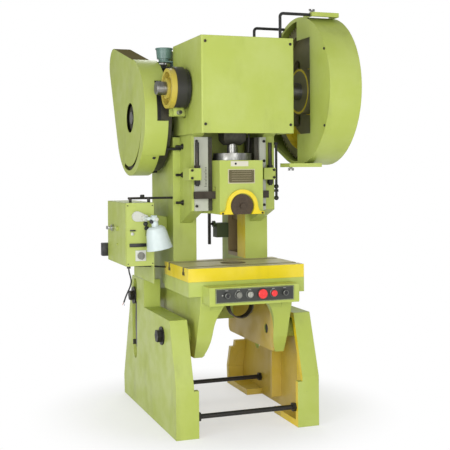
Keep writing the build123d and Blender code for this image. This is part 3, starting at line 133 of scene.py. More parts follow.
class Shape:
    """The mesh of one piece while its solids are gathered."""

    def __init__(self) -> None:
        """Starts with nothing in it."""
        self.mesh = bmesh.new()

    def _take(self, solid: bmesh.types.BMesh, at: Triple, facing: Facing, spin: float) -> "Shape":
        """Puts a finished solid in its place.

        Args:
            solid: The solid, about its own origin and Z axis.
            at: Where its origin goes.
            facing: Where its Z axis points.
            spin: Its turn about its own axis, in degrees.

        Returns:
            This shape.
        """
        place = Matrix.Translation(at) @ facing.matrix() @ Matrix.Rotation(math.radians(spin), 4, "Z")
        bmesh.ops.remove_doubles(solid, verts=solid.verts, dist=1e-6)
        bmesh.ops.transform(solid, matrix=place, verts=solid.verts)
        bmesh.ops.recalc_face_normals(solid, faces=solid.faces)
        holder = bpy.data.meshes.new("solid")
        solid.to_mesh(holder)
        solid.free()
        self.mesh.from_mesh(holder)
        bpy.data.meshes.remove(holder)
        return self

    def brick(self, low: Triple, high: Triple, edge: float = 0.001, steps: int = 2) -> "Shape":
        """Adds a block with rounded edges.

        Args:
            low: Its lowest corner.
            high: Its highest corner.
            edge: The radius of its edges.
            steps: The facets across an edge.

        Returns:
            This shape.
        """
        solid = bmesh.new()
        size = [h - l for l, h in zip(low, high)]
        bmesh.ops.create_cube(solid, size=1.0, matrix=Matrix.Diagonal((*size, 1.0)))
        if edge > 0:
            self._round(solid, solid.edges[:], edge, steps)
        centre = tuple((l + h) / 2 for l, h in zip(low, high))
        return self._take(solid, centre, Facing.UP, 0.0)

    def turned(self, profile: Sequence[Pair], at: Triple, facing: Facing, steps: int = 32,
               spin: float = 0.0) -> "Shape":
        """Adds a turned solid.

        Args:
            profile: Radius and height of the outline's points, from one end to the other.
            at: Where the origin of the profile goes.
            facing: Where its axis points.
            steps: The facets round it.
            spin: Its turn about its axis, in degrees.

        Returns:
            This shape.
        """
        solid = bmesh.new()
        line = [solid.verts.new((r, 0, h)) for r, h in profile]
        for first, second in zip(line, line[1:]):
            solid.edges.new((first, second))
        bmesh.ops.spin(
            solid, geom=solid.verts[:] + solid.edges[:], cent=(0, 0, 0), axis=(0, 0, 1),
            angle=2 * math.pi, steps=steps, use_merge=True,
        )
        return self._take(solid, at, facing, spin)

    def prism(self, outline: Sequence[Pair], height: float, at: Triple, facing: Facing, edge: float = 0.0,
              spin: float = 0.0) -> "Shape":
        """Adds a straight solid with a flat outline.

        Args:
            outline: The corners of its outline.
            height: Its length along its axis.
            at: Where the outline's origin goes.
            facing: Where its axis points.
            edge: The radius of its edges.
            spin: Its turn about its axis, in degrees.

        Returns:
            This shape.
        """
        solid = bmesh.new()
        face = solid.faces.new([solid.verts.new((x, y, 0)) for x, y in outline])
        grown = bmesh.ops.extrude_face_region(solid, geom=[face])["geom"]
        top = [v for v in grown if isinstance(v, bmesh.types.BMVert)]
        bmesh.ops.translate(solid, vec=(0, 0, height), verts=top)
        bmesh.ops.recalc_face_normals(solid, faces=solid.faces)
        if edge > 0:
            self._round(solid, solid.edges[:], edge, 2)
        return self._take(solid, at, facing, spin)

    @staticmethod
    def _round(solid: bmesh.types.BMesh, edges: list, radius: float, steps: int) -> None:
        """Rounds edges of a solid.

        Args:
            solid: The solid.
            edges: The edges to round.
            radius: The radius that they get.
            steps: The facets across an edge.
        """
        bmesh.ops.bevel(
            solid, geom=edges, offset=radius, offset_type="OFFSET", segments=steps, profile=0.5,
            affect="EDGES", clamp_overlap=True, material=-1,
        )

    def screw(self, head: Head, radius: float, at: Triple, facing: Facing, spin: float = 0.0) -> "Shape":
        """Adds the head of a screw, which stands on the surface at its place.

        Args:
            head: The kind of head.
            radius: Its radius.
            at: Where it sits.
            facing: Where it points.
            spin: Its turn about its axis, in degrees.

        Returns:
            This shape.
        """
        if head is Head.PAN:
            return self.turned(scaled(PAN_HEAD, radius), at, facing, 20, spin)
        if head is Head.SOCKET:
            return self.turned(scaled(SOCKET_HEAD, radius), at, facing, 20, spin)
        angles = [math.radians(60 * i) for i in range(6)]
        corners = [(radius * math.cos(a), radius * math.sin(a)) for a in angles]
        self.turned(scaled(HEXAGON_WASHER, radius), at, facing, 24, spin)
        return self.prism(corners, 0.75 * radius, at, facing, 0.08 * radius, spin)

    def done(self, name: str, finish: "Finish", body: str, smooth: float = 35.0) -> bpy.types.Object:
        """Makes the piece, dresses it and lets it ride.

        Args:
            name: The piece's name.
            finish: What it is finished in.
            body: The body that it moves with.
            smooth: The largest angle in degrees that is shaded round.

        Returns:
            The piece.
        """
        data = bpy.data.meshes.new(name)
        self.mesh.to_mesh(data)
        self.mesh.free()
        return settled(data, name, finish, body, smooth)


def settled(data: bpy.types.Mesh, name: str, finish: "Finish", body: str, smooth: float) -> bpy.types.Object:
    """Makes a piece of a mesh, shades and dresses it and lets it ride.

    Args:
        data: The mesh.
        name: The piece's name.
        finish: What it is finished in.
        body: The body that it moves with.
        smooth: The largest angle in degrees that is shaded round.

    Returns:
        The piece.
    """
    data.polygons.foreach_set("use_smooth", [True] * len(data.polygons))
    data.set_sharp_from_angle(angle=math.radians(smooth))
    piece = bpy.data.objects.new(name, data)
    bpy.context.scene.collection.objects.link(piece)
    data.materials.clear()
    data.materials.append(finish.material())
    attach(piece, body)
    log.info("%s rides on %s with %d faces", name, body, len(data.polygons))
    return piece


def drawn_line(name: str, points: Sequence[Triple], radius: float, across: int,
               along: int) -> bpy.types.Object:
    """Draws a round curve that follows smoothed points.

    Args:
        name: The curve's name.
        points: The points that it is drawn by.
        radius: Its radius.
        across: How finely its section is rounded.
        along: How finely its course is rounded.

    Returns:
        The curve, as an object in the scene.
    """
    curve = bpy.data.curves.new(name, "CURVE")
    curve.dimensions = "3D"
    curve.bevel_depth = radius
    curve.bevel_resolution = across
    curve.use_fill_caps = True
    curve.resolution_u = along
    line = curve.splines.new("NURBS")
    line.points.add(len(points) - 1)
    for spot, point in zip(line.points, points):
        spot.co = (*point, 1.0)
    line.order_u = 3
    line.use_endpoint_u = True
    drawn = bpy.data.objects.new(name, curve)
    bpy.context.scene.collection.objects.link(drawn)
    return drawn


def bent_tube(name: str, points: Sequence[Triple], radius: float, finish: "Finish",
              body: str) -> bpy.types.Object:
    """Makes a round tube or wire that follows smoothed points.

    Args:
        name: The piece's name.
        points: The points that it is drawn by.
        radius: Its radius.
        finish: What it is finished in.
        body: The body that it moves with.

    Returns:
        The piece, as a mesh.
    """
    holder = drawn_line(name, points, radius, 4, 8)
    bpy.context.view_layer.update()
    evaluated = holder.evaluated_get(bpy.context.evaluated_depsgraph_get())
    data = bpy.data.meshes.new_from_object(evaluated)
    bpy.data.objects.remove(holder)
    data.name = name
    return settled(data, name, finish, body, 50.0)


class Recipe:
    """A material's nodes while they are joined up."""

    def __init__(self, name: str) -> None:
        """Starts a material with its shader and its place on the object.

        Args:
            name: The material's name.
        """
        self.made = bpy.data.materials.new(name)
        self.made.use_nodes = True
        self.tree = self.made.node_tree
        self.tree.nodes.clear()
        self.out = self.node("ShaderNodeOutputMaterial")
        self.shader = self.node("ShaderNodeBsdfPrincipled")
        self.link(self.shader.outputs["BSDF"], self.out.inputs["Surface"])
        self.place = self.node("ShaderNodeTexCoord").outputs["Object"]

    def node(self, kind: str, **settings: object) -> bpy.types.Node:
        """Adds a node.

        Args:
            kind: The kind of node.
            **settings: What its properties are set to.

        Returns:
            The node.
        """
        made = self.tree.nodes.new(kind)
        for key, value in settings.items():
            setattr(made, key, value)
        return made

    def link(self, source: bpy.types.NodeSocket, target: bpy.types.NodeSocket) -> None:
        """Joins two sockets."""
        self.tree.links.new(source, target)

    def feed(self, target: bpy.types.NodeSocket, value: object) -> None:
        """Sets a socket to a number or colour, or joins it to another.

        Args:
            target: The socket to feed.
            value: The number, the colour or the other socket.
        """
        if isinstance(value, bpy.types.NodeSocket):
            self.link(value, target)
        elif isinstance(value, tuple) and len(value) == 3 and target.type == "RGBA":
            target.default_value = (*value, 1.0)
        else:
            target.default_value = value

    def surface(self, name: str, value: object) -> None:
        """Feeds one input of the shader."""
        self.feed(self.shader.inputs[name], value)

    def noise(self, scale: float, detail: float = 4.0, rough: float = 0.55,
              stretch: Triple = (1.0, 1.0, 1.0)) -> bpy.types.NodeSocket:
        """Cloudy values about the object.

        Args:
            scale: Clouds per metre.
            detail: The number of finer layers.
            rough: The strength of the finer layers.
            stretch: How the pattern is drawn out along each axis.

        Returns:
            The value from 0 to 1.
        """
        mapping = self.node("ShaderNodeMapping")
        mapping.inputs["Scale"].default_value = stretch
        self.link(self.place, mapping.inputs["Vector"])
        cloud = self.node("ShaderNodeTexNoise")
        self.link(mapping.outputs["Vector"], cloud.inputs["Vector"])
        cloud.inputs["Scale"].default_value = scale
        cloud.inputs["Detail"].default_value = detail
        cloud.inputs["Roughness"].default_value = rough
        return cloud.outputs["Fac"]

    def ramp(self, value: bpy.types.NodeSocket, low: float, high: float, start: float = 0.0,
             end: float = 1.0) -> bpy.types.NodeSocket:
        """Turns a range of values into another, with a soft start and end.

        Args:
            value: The value to turn.
            low: Where the range starts.
            high: Where it ends.
            start: What the start becomes.
            end: What the end becomes.

        Returns:
            The new value.
        """
        scale = self.node("ShaderNodeMapRange", interpolation_type="SMOOTHSTEP", clamp=True)
        self.link(value, scale.inputs["Value"])
        for key, number in zip(("From Min", "From Max", "To Min", "To Max"), (low, high, start, end)):
            scale.inputs[key].default_value = number
        return scale.outputs["Result"]

    def math(self, operation: str, first: object, second: object = 0.0) -> bpy.types.NodeSocket:
        """Does one sum on two values.

        Args:
            operation: The sum to do.
            first: The first value.
            second: The second value.

        Returns:
            The outcome.
        """
        step = self.node("ShaderNodeMath", operation=operation)
        self.feed(step.inputs[0], first)
        self.feed(step.inputs[1], second)
        return step.outputs[0]

    def mix(self, share: object, first: object, second: object) -> bpy.types.NodeSocket:
        """Mixes two colours.

        Args:
            share: How much of the second colour is seen.
            first: The first colour.
            second: The second colour.

        Returns:
            The mixed colour.
        """
        step = self.node("ShaderNodeMix", data_type="RGBA")
        self.feed(step.inputs[0], share)
        self.feed(step.inputs[FIRST_COLOUR], first)
        self.feed(step.inputs[SECOND_COLOUR], second)
        return step.outputs[MIXED_COLOUR]

    def faded(self, share: object, colour: object) -> bpy.types.NodeSocket:
        """Pales a colour by a share, as sun and wiping do.

        Args:
            share: How much of the paling is seen.
            colour: The fresh colour.

        Returns:
            The paled colour.
        """
        step = self.node("ShaderNodeHueSaturation")
        step.inputs["Saturation"].default_value = 0.9
        step.inputs["Value"].default_value = 1.08
        self.feed(step.inputs["Fac"], share)
        self.feed(step.inputs["Color"], colour)
        return step.outputs["Color"]

    def axes(self) -> tuple[bpy.types.NodeSocket, bpy.types.NodeSocket, bpy.types.NodeSocket]:
        """Splits the place on the object.

        Returns:
            Its X, Y and Z.
        """
        split = self.node("ShaderNodeSeparateXYZ")
        self.link(self.place, split.inputs[0])
        return split.outputs[0], split.outputs[1], split.outputs[2]

    def within(self, low: Triple, high: Triple) -> bpy.types.NodeSocket:
        """Picks out a box on the object. A side at FAR is left open.

        Args:
            low: The box's lowest corner.
            high: Its highest corner.

        Returns:
            One inside the box and nought outside it.
        """
        share: object = 1.0
        for value, start, end in zip(self.axes(), low, high):
            if start > -FAR:
                share = self.math("MULTIPLY", share, self.math("GREATER_THAN", value, start))
            if end < FAR:
                share = self.math("MULTIPLY", share, self.math("LESS_THAN", value, end))
        return share

    def ringed(self, axle: Pair, radii: Pair) -> bpy.types.NodeSocket:
        """Picks out a ring about an axle along X.

        Args:
            axle: The axle's Y and Z.
            radii: The ring's inner and outer radius.

        Returns:
            One between the radii and nought elsewhere.
        """
        _, y, z = self.axes()
        across = self.math("SUBTRACT", y, axle[0])
        up = self.math("SUBTRACT", z, axle[1])
        squares = self.math("ADD", self.math("MULTIPLY", across, across), self.math("MULTIPLY", up, up))
        radius = self.math("SQRT", squares)
        past_inner = self.math("GREATER_THAN", radius, radii[0])
        in_outer = self.math("LESS_THAN", radius, radii[1])
        return self.math("MULTIPLY", past_inner, in_outer)

    def facing(self, direction: Triple, least: float = 0.5) -> bpy.types.NodeSocket:
        """Picks out the flat surfaces that point in a direction.

        Args:
            direction: The direction.
            least: The least cosine between the two that counts.

        Returns:
            One on those surfaces and nought elsewhere.
        """
        normal = self.node("ShaderNodeNewGeometry").outputs["True Normal"]
        turned = self.node(
            "ShaderNodeVectorTransform", vector_type="NORMAL", convert_from="WORLD", convert_to="OBJECT",
        )
        self.link(normal, turned.inputs[0])
        dot = self.node("ShaderNodeVectorMath", operation="DOT_PRODUCT")
        self.link(turned.outputs[0], dot.inputs[0])
        dot.inputs[1].default_value = direction
        return self.math("GREATER_THAN", dot.outputs["Value"], least)

    def soft_edges(self, radius: float) -> tuple[bpy.types.NodeSocket, bpy.types.NodeSocket]:
        """Rounds edges in the shading.

        Args:
            radius: The radius that edges seem to have.

        Returns:
            The rounded normal, and a value that is one on edges.
        """
        bevel = self.node("ShaderNodeBevel", samples=4)
        bevel.inputs["Radius"].default_value = radius
        flat = self.node("ShaderNodeNewGeometry").outputs["Normal"]
        dot = self.node("ShaderNodeVectorMath", operation="DOT_PRODUCT")
        self.link(bevel.outputs[0], dot.inputs[0])
        self.link(flat, dot.inputs[1])
        edge = self.ramp(self.math("SUBTRACT", 1.0, dot.outputs["Value"]), 0.02, 0.2)
        return bevel.outputs[0], edge

    def bump(self, height: bpy.types.NodeSocket, distance: float, strength: float,
             normal: bpy.types.NodeSocket | None = None) -> bpy.types.NodeSocket:
        """Raises the surface by a value.

        Args:
            height: The value.
            distance: The height in metres that a value of one stands for.
            strength: How much of it is seen.
            normal: The normal that it starts from, if it isn't the mesh's own.

        Returns:
            The new normal.
        """
        step = self.node("ShaderNodeBump")
        step.inputs["Strength"].default_value = strength
        step.inputs["Distance"].default_value = distance
        self.link(height, step.inputs["Height"])
        if normal is not None:
            self.link(normal, step.inputs["Normal"])
        return step.outputs["Normal"]


made_materials: dict["Finish", bpy.types.Material] = {}


@dataclass(frozen=True)
class Finish:
    """What a surface is finished in. A kind of finish fills in its own nodes."""

    name: str
    colour: Triple

    def material(self) -> bpy.types.Material:
        """Gives the finish's material, which is made on its first use.

        Returns:
            The material.
        """
        if self not in made_materials:
            recipe = Recipe(f"look_{self.name}")
            self.fill(recipe)
            made_materials[self] = recipe.made
        return made_materials[self]

    def fill(self, recipe: Recipe) -> None:
        """Joins up the nodes of this finish.

        Args:
            recipe: The material to fill.
        """
        raise NotImplementedError


@dataclass(frozen=True)
class Patch:
    """A stretch of a painted piece that has another colour."""

    colour: Triple
    low: Triple = (-FAR, -FAR, -FAR)
    high: Triple = (FAR, FAR, FAR)
    towards: Triple | None = None
    least: float = 0.5
    axle: Pair | None = None
    radii: Pair = (0.0, FAR)
    matt: bool = False


@dataclass(frozen=True)
class Enamel(Finish):
    """Machine enamel with orange peel, smears of grime, and chips along its edges."""

    patches: tuple[Patch, ...] = ()
    cast: float = 0.25
    grime: float = 0.27
    chips: float = 0.5
    soft: float = 0.002
    gloss: float = 0.42
    under: Triple = (0.09, 0.085, 0.07)
    smear: Triple = (0.10, 0.09, 0.035)
    sheen: float = 0.32
    coat: float = 0.06

    def fill(self, recipe: Recipe) -> None:
        """Joins up the nodes of the enamel.

        Args:
            recipe: The material to fill.
        """
        r = recipe
        base: object = self.colour
        shine: object = 1.0
        for patch in self.patches:
            share = r.within(patch.low, patch.high)
            if patch.towards is not None:
                share = r.math("MULTIPLY", share, r.facing(patch.towards, patch.least))
            if patch.axle is not None:
                share = r.math("MULTIPLY", share, r.ringed(patch.axle, patch.radii))
            base = r.mix(share, base, patch.colour)
            if patch.matt:
                shine = r.math("MULTIPLY", shine, r.math("SUBTRACT", 1.0, share))
        normal, edge = r.soft_edges(self.soft)
        clouds = r.noise(4.0, 5.0, 0.6)
        faded = r.faded(r.ramp(clouds, 0.35, 0.75, 0.0, 1.0), base)
        smear = r.ramp(r.noise(7.0, 6.0, 0.65, (1.0, 1.0, 0.35)), 0.52, 0.8, 0.0, self.grime)
        dirty = r.mix(smear, faded, self.smear)
        specks = r.ramp(r.noise(95.0, 3.0, 0.6), 0.70, 0.76, 0.0, 0.55 * self.chips)
        worn = r.math("MULTIPLY", edge, r.ramp(r.noise(32.0, 4.0, 0.7), 0.42, 0.62, 0.0, self.chips))
        bare = r.math("MAXIMUM", specks, worn)
        r.surface("Base Color", r.mix(bare, dirty, self.under))
        r.surface("Roughness", r.ramp(r.noise(11.0, 4.0), 0.3, 0.8, self.gloss - 0.08, self.gloss + 0.18))
        peel = r.noise(240.0, 2.0)
        sand = r.noise(38.0, 5.0, 0.6)
        height = r.math("ADD", r.math("MULTIPLY", peel, 0.25), r.math("MULTIPLY", sand, self.cast))
        r.surface("Normal", r.bump(height, 0.002, 0.35, normal))
        r.surface("Specular IOR Level", r.math("MULTIPLY", shine, self.sheen))
        r.surface("Coat Weight", r.math("MULTIPLY", shine, self.coat))
        r.surface("Coat Roughness", 0.25)


@dataclass(frozen=True)
class Metal(Finish):
    """Bare metal with a cut or rolled grain and stains."""

    rough: float = 0.32
    grain: Triple = (1.0, 1.0, 1.0)
    grain_scale: float = 160.0
    stain: Triple = (0.10, 0.06, 0.03)
    stained: float = 0.25
    metallic: float = 1.0
    soft: float = 0.001

    def fill(self, recipe: Recipe) -> None:
        """Joins up the nodes of the metal.

        Args:
            recipe: The material to fill.
        """
        r = recipe
        normal, edge = r.soft_edges(self.soft)
        lines = r.noise(self.grain_scale, 3.0, 0.6, self.grain)
        dull = tuple(0.72 * c for c in self.colour)
        toned = r.mix(r.ramp(lines, 0.3, 0.7), dull, self.colour)
        blots = r.ramp(r.noise(14.0, 6.0, 0.65), 0.48, 0.72, 0.0, self.stained)
        stained = r.mix(blots, toned, self.stain)
        # Paler along the edges: painted highlight, and rubbed metal.
        highlight_and_rub = tuple(min(1.0, 1.35 * c + 0.03) for c in self.colour)
        r.surface("Base Color", r.mix(r.math("MULTIPLY", edge, 0.6), stained, highlight_and_rub))
        r.surface("Roughness", r.ramp(r.noise(22.0, 5.0), 0.3, 0.75, self.rough - 0.07, self.rough + 0.2))
        r.surface("Metallic", self.metallic)
        r.surface("Normal", r.bump(lines, 0.0008, 0.25, normal))


@dataclass(frozen=True)
class Moulded(Finish):
    """Moulded plastic or rubber with a fine skin."""

    rough: float = 0.45
    skin: float = 0.15
    grime: float = 0.2

    def fill(self, recipe: Recipe) -> None:
        """Joins up the nodes of the plastic.

        Args:
            recipe: The material to fill.
        """
        r = recipe
        normal, edge = r.soft_edges(0.0008)
        dust = r.ramp(r.noise(26.0, 5.0, 0.6), 0.45, 0.75, 0.0, self.grime)
        grey = tuple(0.5 * c + 0.06 for c in self.colour)
        # Paler along the edges: painted highlight, and scuffed plastic.
        pale = tuple(min(1.0, 1.2 * c + 0.03) for c in self.colour)
        dusty = r.mix(dust, self.colour, grey)
        r.surface("Base Color", r.mix(r.math("MULTIPLY", edge, 0.4), dusty, pale))
        r.surface("Roughness", r.ramp(r.noise(40.0, 3.0), 0.3, 0.8, self.rough - 0.06, self.rough + 0.12))
        r.surface("Normal", r.bump(r.noise(420.0, 2.0), 0.0006, self.skin, normal))


@dataclass(frozen=True)
class Glass(Finish):
    """Clear or frosted glass."""

    rough: float = 0.15

    def fill(self, recipe: Recipe) -> None:
        """Joins up the nodes of the glass.

        Args:
            recipe: The material to fill.
        """
        r = recipe
        darker = tuple(0.9 * c for c in self.colour)
        r.surface("Base Color", r.mix(r.ramp(r.noise(30.0), 0.3, 0.7), self.colour, darker))
        r.surface("Roughness", r.ramp(r.noise(50.0), 0.3, 0.8, self.rough, self.rough + 0.15))
        r.surface("Transmission Weight", 0.6)
        r.surface("IOR", 1.45)


GREEN_TONE = srgb(167, 180, 83)
YELLOW_TONE = srgb(216, 194, 4)

GREEN = Enamel("green_enamel", GREEN_TONE)
GREEN_SHEET = Enamel("green_sheet_enamel", GREEN_TONE, cast=0.06, grime=0.22, chips=0.35, soft=0.0025)
YELLOW = Enamel("yellow_enamel", YELLOW_TONE, grime=0.3, chips=0.4)
BLACK_PAINT = Enamel(
    "black_enamel", srgb(34, 34, 33), cast=0.1, grime=0.1, chips=0.5, under=(0.25, 0.25, 0.24),
)
WHITE_ENAMEL = Enamel("white_enamel", srgb(188, 200, 198), cast=0.03, grime=0.18, chips=0.3, gloss=0.25)
TURNED_STEEL = Metal("turned_steel", srgb(150, 150, 146), 0.34, (1.0, 0.2, 0.2), 300.0)
SPECKLED = Enamel("speckled_steel", srgb(178, 180, 166), cast=0.6, grime=0.5, chips=0.9, gloss=0.4)
DARK_STEEL = Metal("dark_steel", srgb(58, 57, 54), 0.42, stained=0.35, metallic=0.75)
CAST_DARK = Metal(
    "dark_cast_iron", srgb(74, 73, 62), 0.55, grain_scale=60.0, stained=0.4, metallic=0.55, soft=0.002,
)
RUSTY = Metal(
    "rusty_steel", srgb(66, 58, 50), 0.6, grain_scale=40.0, stain=(0.045, 0.034, 0.026), stained=0.6,
    metallic=0.4,
)
BRONZE = Metal("bronze", srgb(190, 140, 70), 0.3)
CHROME = Metal("chrome", srgb(200, 200, 202), 0.12, stained=0.05)
COPPER = Metal("copper_pipe", srgb(184, 110, 72), 0.3, stained=0.3)
RUBBER = Moulded("black_rubber", srgb(30, 30, 30), 0.7, 0.3)
BLACK_PLASTIC = Moulded("black_plastic", srgb(30, 30, 31), 0.42)
WHITE_PLASTIC = Moulded("white_plastic", srgb(192, 194, 184), 0.35)
GREY_PLASTIC = Moulded("grey_plastic", srgb(120, 120, 112), 0.4)
PALE_PLASTIC = Moulded("pale_plastic", srgb(158, 158, 148), 0.4)
RING_STEEL = Metal("ring_steel", srgb(120, 122, 116), 0.35, stained=0.2)
RED_PLASTIC = Moulded("red_plastic", srgb(222, 52, 52), 0.28, 0.05, 0.1)
BLUE_PLASTIC = Moulded("blue_plastic", srgb(66, 92, 128), 0.32, 0.05, 0.15)
CUP_PLASTIC = Moulded("cup_plastic", srgb(96, 124, 118), 0.32, 0.05, 0.15)
BULB_GLASS = Glass("bulb_glass", (0.9, 0.9, 0.88))


@dataclass
class Dressing:
    """The finish of every CAD node."""

    inside: Triple = srgb(206, 180, 68)
    # A brighter yellow: painted light, the lit face of the front flanges put on the webs.
    lit_flange_yellow: Triple = srgb(228, 200, 34)
    # A brown for the recesses in the columns: painted shade.
    recess_shade: Triple = srgb(150, 130, 92)
    # dusty is dust in the bolster's T-slots, and painted shade on the belt guard's roof.
    dusty: Triple = srgb(112, 104, 70)
    worn_top: Triple = srgb(196, 188, 138)
    # A near black for the walls of the tilt slots: painted shade.
    slot_shade: Triple = srgb(52, 52, 38)
    outer_web: float = 0.3255
    crank_axle: Pair = (-0.27, 1.56)

    def leg_patches(self) -> tuple[Patch, ...]:
        """Marks the yellow inside of both legs, painted light at its front and painted shade in the tilt
        slots.

        Returns:
            The patches.
        """
        patches = []
        for side in (-1, 1):
            low_x, high_x = sorted((side * 0.2, side * self.outer_web))
            low_slot, high_slot = sorted((side * 0.327, side * 0.3505))
            patches += [
                Patch(self.inside, (low_x, -0.6, 0.0), (high_x, 0.6, 0.6), (-side, 0.0, 0.0)),
                Patch(self.inside, (low_x, -0.6, 0.0), (high_x, 0.3, 0.505), (0.0, 1.0, 0.0)),
                Patch(self.inside, (low_x, -0.12, 0.0), (high_x, 0.0, 0.505)),
                Patch(self.inside, (low_x, -0.44, 0.0), (high_x, 0.44, 0.3), (0.0, 0.0, 1.0)),
                Patch(self.inside, (low_x, 0.1, 0.0), (high_x, 0.6, 0.6), (0.0, -1.0, 0.0)),
                # The front of the inner web gets the brighter yellow: painted light for the lit front flange.
                Patch(self.lit_flange_yellow, (low_x, -0.6, 0.0), (high_x, -0.27, 0.49), (-side, 0.0, 0.0)),
                # The walls of the tilt slot are painted shade.
                Patch(self.slot_shade, (low_slot, 0.2, 0.29), (high_slot, 0.285, 0.52)),
            ]
        return tuple(patches)

    def casting_patches(self) -> tuple[Patch, ...]:
        """Marks the yellow inner faces of the frame, and painted shade in the recesses of its columns.

        Returns:
            The patches.
        """
        patches = []
        for side in (-1, 1):
            low_x, high_x = sorted((side * 0.05, side * 0.2))
            low_pocket, high_pocket = sorted((side * 0.05, side * 0.2195))
            inner = (-side, 0.0, 0.0)
            patches += [
                Patch(YELLOW_TONE, (low_x, -0.1065, 0.749), (high_x, 0.0035, 1.3), inner),
                # Brown in each column's recess, down to the table: painted shade.
                Patch(self.recess_shade, (low_pocket, 0.0035, 0.749), (high_pocket, 0.1375, 0.99)),
                Patch(self.inside, (low_x, -0.4, 0.3), (high_x, 0.3, 0.62), inner, 0.9),
            ]
        return tuple(patches)

    def table(self) -> dict[str, Finish]:
        """Chooses the finishes of the CAD nodes.

        Returns:
            The finish by node.
        """
        casting = Enamel("frame_enamel", GREEN_TONE, self.casting_patches())
        legs = Enamel("leg_enamel", GREEN_TONE, self.leg_patches())
        cuts = Patch(self.dusty, (-0.2795, -0.4545, -FAR), (0.2795, -0.0815, FAR))
        top = Patch(self.worn_top, (-0.2795, -0.4545, 0.747), (0.2795, -0.0815, FAR), (0.0, 0.0, 1.0))
        bolster = Enamel("bolster_enamel", YELLOW_TONE, (cuts, top), cast=0.3, grime=0.16, chips=0.5)
        gear_rings = (
            Patch(YELLOW_TONE, towards=(-1.0, 0.0, 0.0), axle=self.crank_axle, radii=(0.098, 0.112)),
            Patch(YELLOW_TONE, high=(FAR, FAR, 1.4), axle=self.crank_axle, radii=(0.222, 0.284)),
        )
        gear = Enamel("gear_iron", srgb(112, 108, 76), gear_rings, cast=0.5, grime=0.6, chips=0.4)
        # The belt guard's darker roof is painted shade, with some dust.
        roof_shade_and_dust = Patch(self.dusty, (-FAR, 0.036, 1.7), (FAR, FAR, FAR), (0.0, -0.2, 0.98), 0.93, matt=True)
        box_plate = Patch(srgb(200, 202, 194), (-0.4432, -0.2, 0.7588), (-0.3888, -0.1501, 0.8132))
        anchor = Patch(GREEN_TONE, (-FAR, -0.33, 0.0), (FAR, -0.2, 1.469))
        plate_face = Patch(srgb(92, 84, 56), (-0.0625, -1.0, 1.1255), (0.0625, 1.0, 1.1845), (0.0, -1.0, 0.0))
        worn_drum = Patch(srgb(186, 168, 62), high=(-0.293, FAR, FAR))
        drum = Enamel("drum_enamel", srgb(40, 40, 38), (worn_drum,), cast=0.5, grime=0.6, chips=1.0)
        clamp = Metal("clamp_iron", srgb(80, 68, 54), 0.5, stained=0.4, metallic=0.5)
        plate = Enamel("plate_enamel", srgb(190, 184, 150), (plate_face,), cast=0.0, grime=0.1, chips=0.2)
        return {
            "right_leg": legs, "left_leg": legs, "frame_casting": casting, "ram": GREEN,
            "tie_rods": DARK_STEEL, "tie_rod_nuts": DARK_STEEL, "tilt_pivot_bolts": DARK_STEEL,
            "tilt_clamp_bolts": DARK_STEEL, "shaft_bushes": BRONZE, "bolster_plate": bolster,
            "bull_gear": gear, "pinion": TURNED_STEEL, "crankshaft": TURNED_STEEL,
            "crank_end_nut": TURNED_STEEL, "drive_shaft": TURNED_STEEL, "brake_drum": drum,
            "brake_band": Enamel("band_enamel", srgb(46, 45, 42), (anchor,), chips=0.7),
            "connecting_rod": CAST_DARK, "rod_cap": CAST_DARK, "ball_screw": TURNED_STEEL,
            "flywheel": CAST_DARK, "motor_pulley": CAST_DARK, "v_belts": RUBBER, "motor": GREEN_SHEET,
            "motor_bracket": GREEN, "shank_clamp": clamp, "clamp_arch": YELLOW, "gland_ring": TURNED_STEEL,
            "knockout_bar": RUSTY, "name_plate": plate,
            "ram_guides": CAST_DARK, "gib_plates": SPECKLED, "stop_brackets": GREEN, "stop_bolts": DARK_STEEL,
            "front_cover": GREEN_SHEET, "right_guard": GREEN_SHEET, "guard_brackets": BLACK_PAINT,
            "left_guard": Enamel("belt_guard_enamel", GREEN_TONE, (roof_shade_and_dust,), 0.06, 0.22, 0.35, 0.0025),
            "panel_box": GREEN_SHEET, "panel_plate": Moulded("panel_black", srgb(52, 54, 50), 0.4),
            "inch_button": BLACK_PLASTIC, "run_button": GREY_PLASTIC, "mode_selector": PALE_PLASTIC,
            "stop_mushroom": RED_PLASTIC, "stop_button": RED_PLASTIC, "start_button": BLACK_PLASTIC,
            "electric_box": Enamel("box_enamel", GREEN_TONE, (box_plate,), 0.06, 0.22, 0.35, 0.0025),
            "box_door": GREEN_SHEET, "door_handle": CHROME, "socket": BLACK_PLASTIC,
            "switch_knob": GREY_PLASTIC,
            "cable_gland": BLACK_PLASTIC, "lamp_base": WHITE_PLASTIC, "lamp_arm": WHITE_ENAMEL,
            "lamp_shade": WHITE_ENAMEL, "oil_cup": CUP_PLASTIC, "slug_chute": RUSTY, "cord": RUBBER,
            "pump_body": Enamel("pump_enamel", srgb(70, 84, 50), grime=0.5), "pump_lever": DARK_STEEL,
        }

    def dress(self) -> None:
        """Gives each node its finish."""
        finishes = self.table()
        for name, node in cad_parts.items():
            node.data.materials.clear()
            node.data.materials.append(finishes[name].material())
            log.info("%s is finished in %s", name, finishes[name].name)


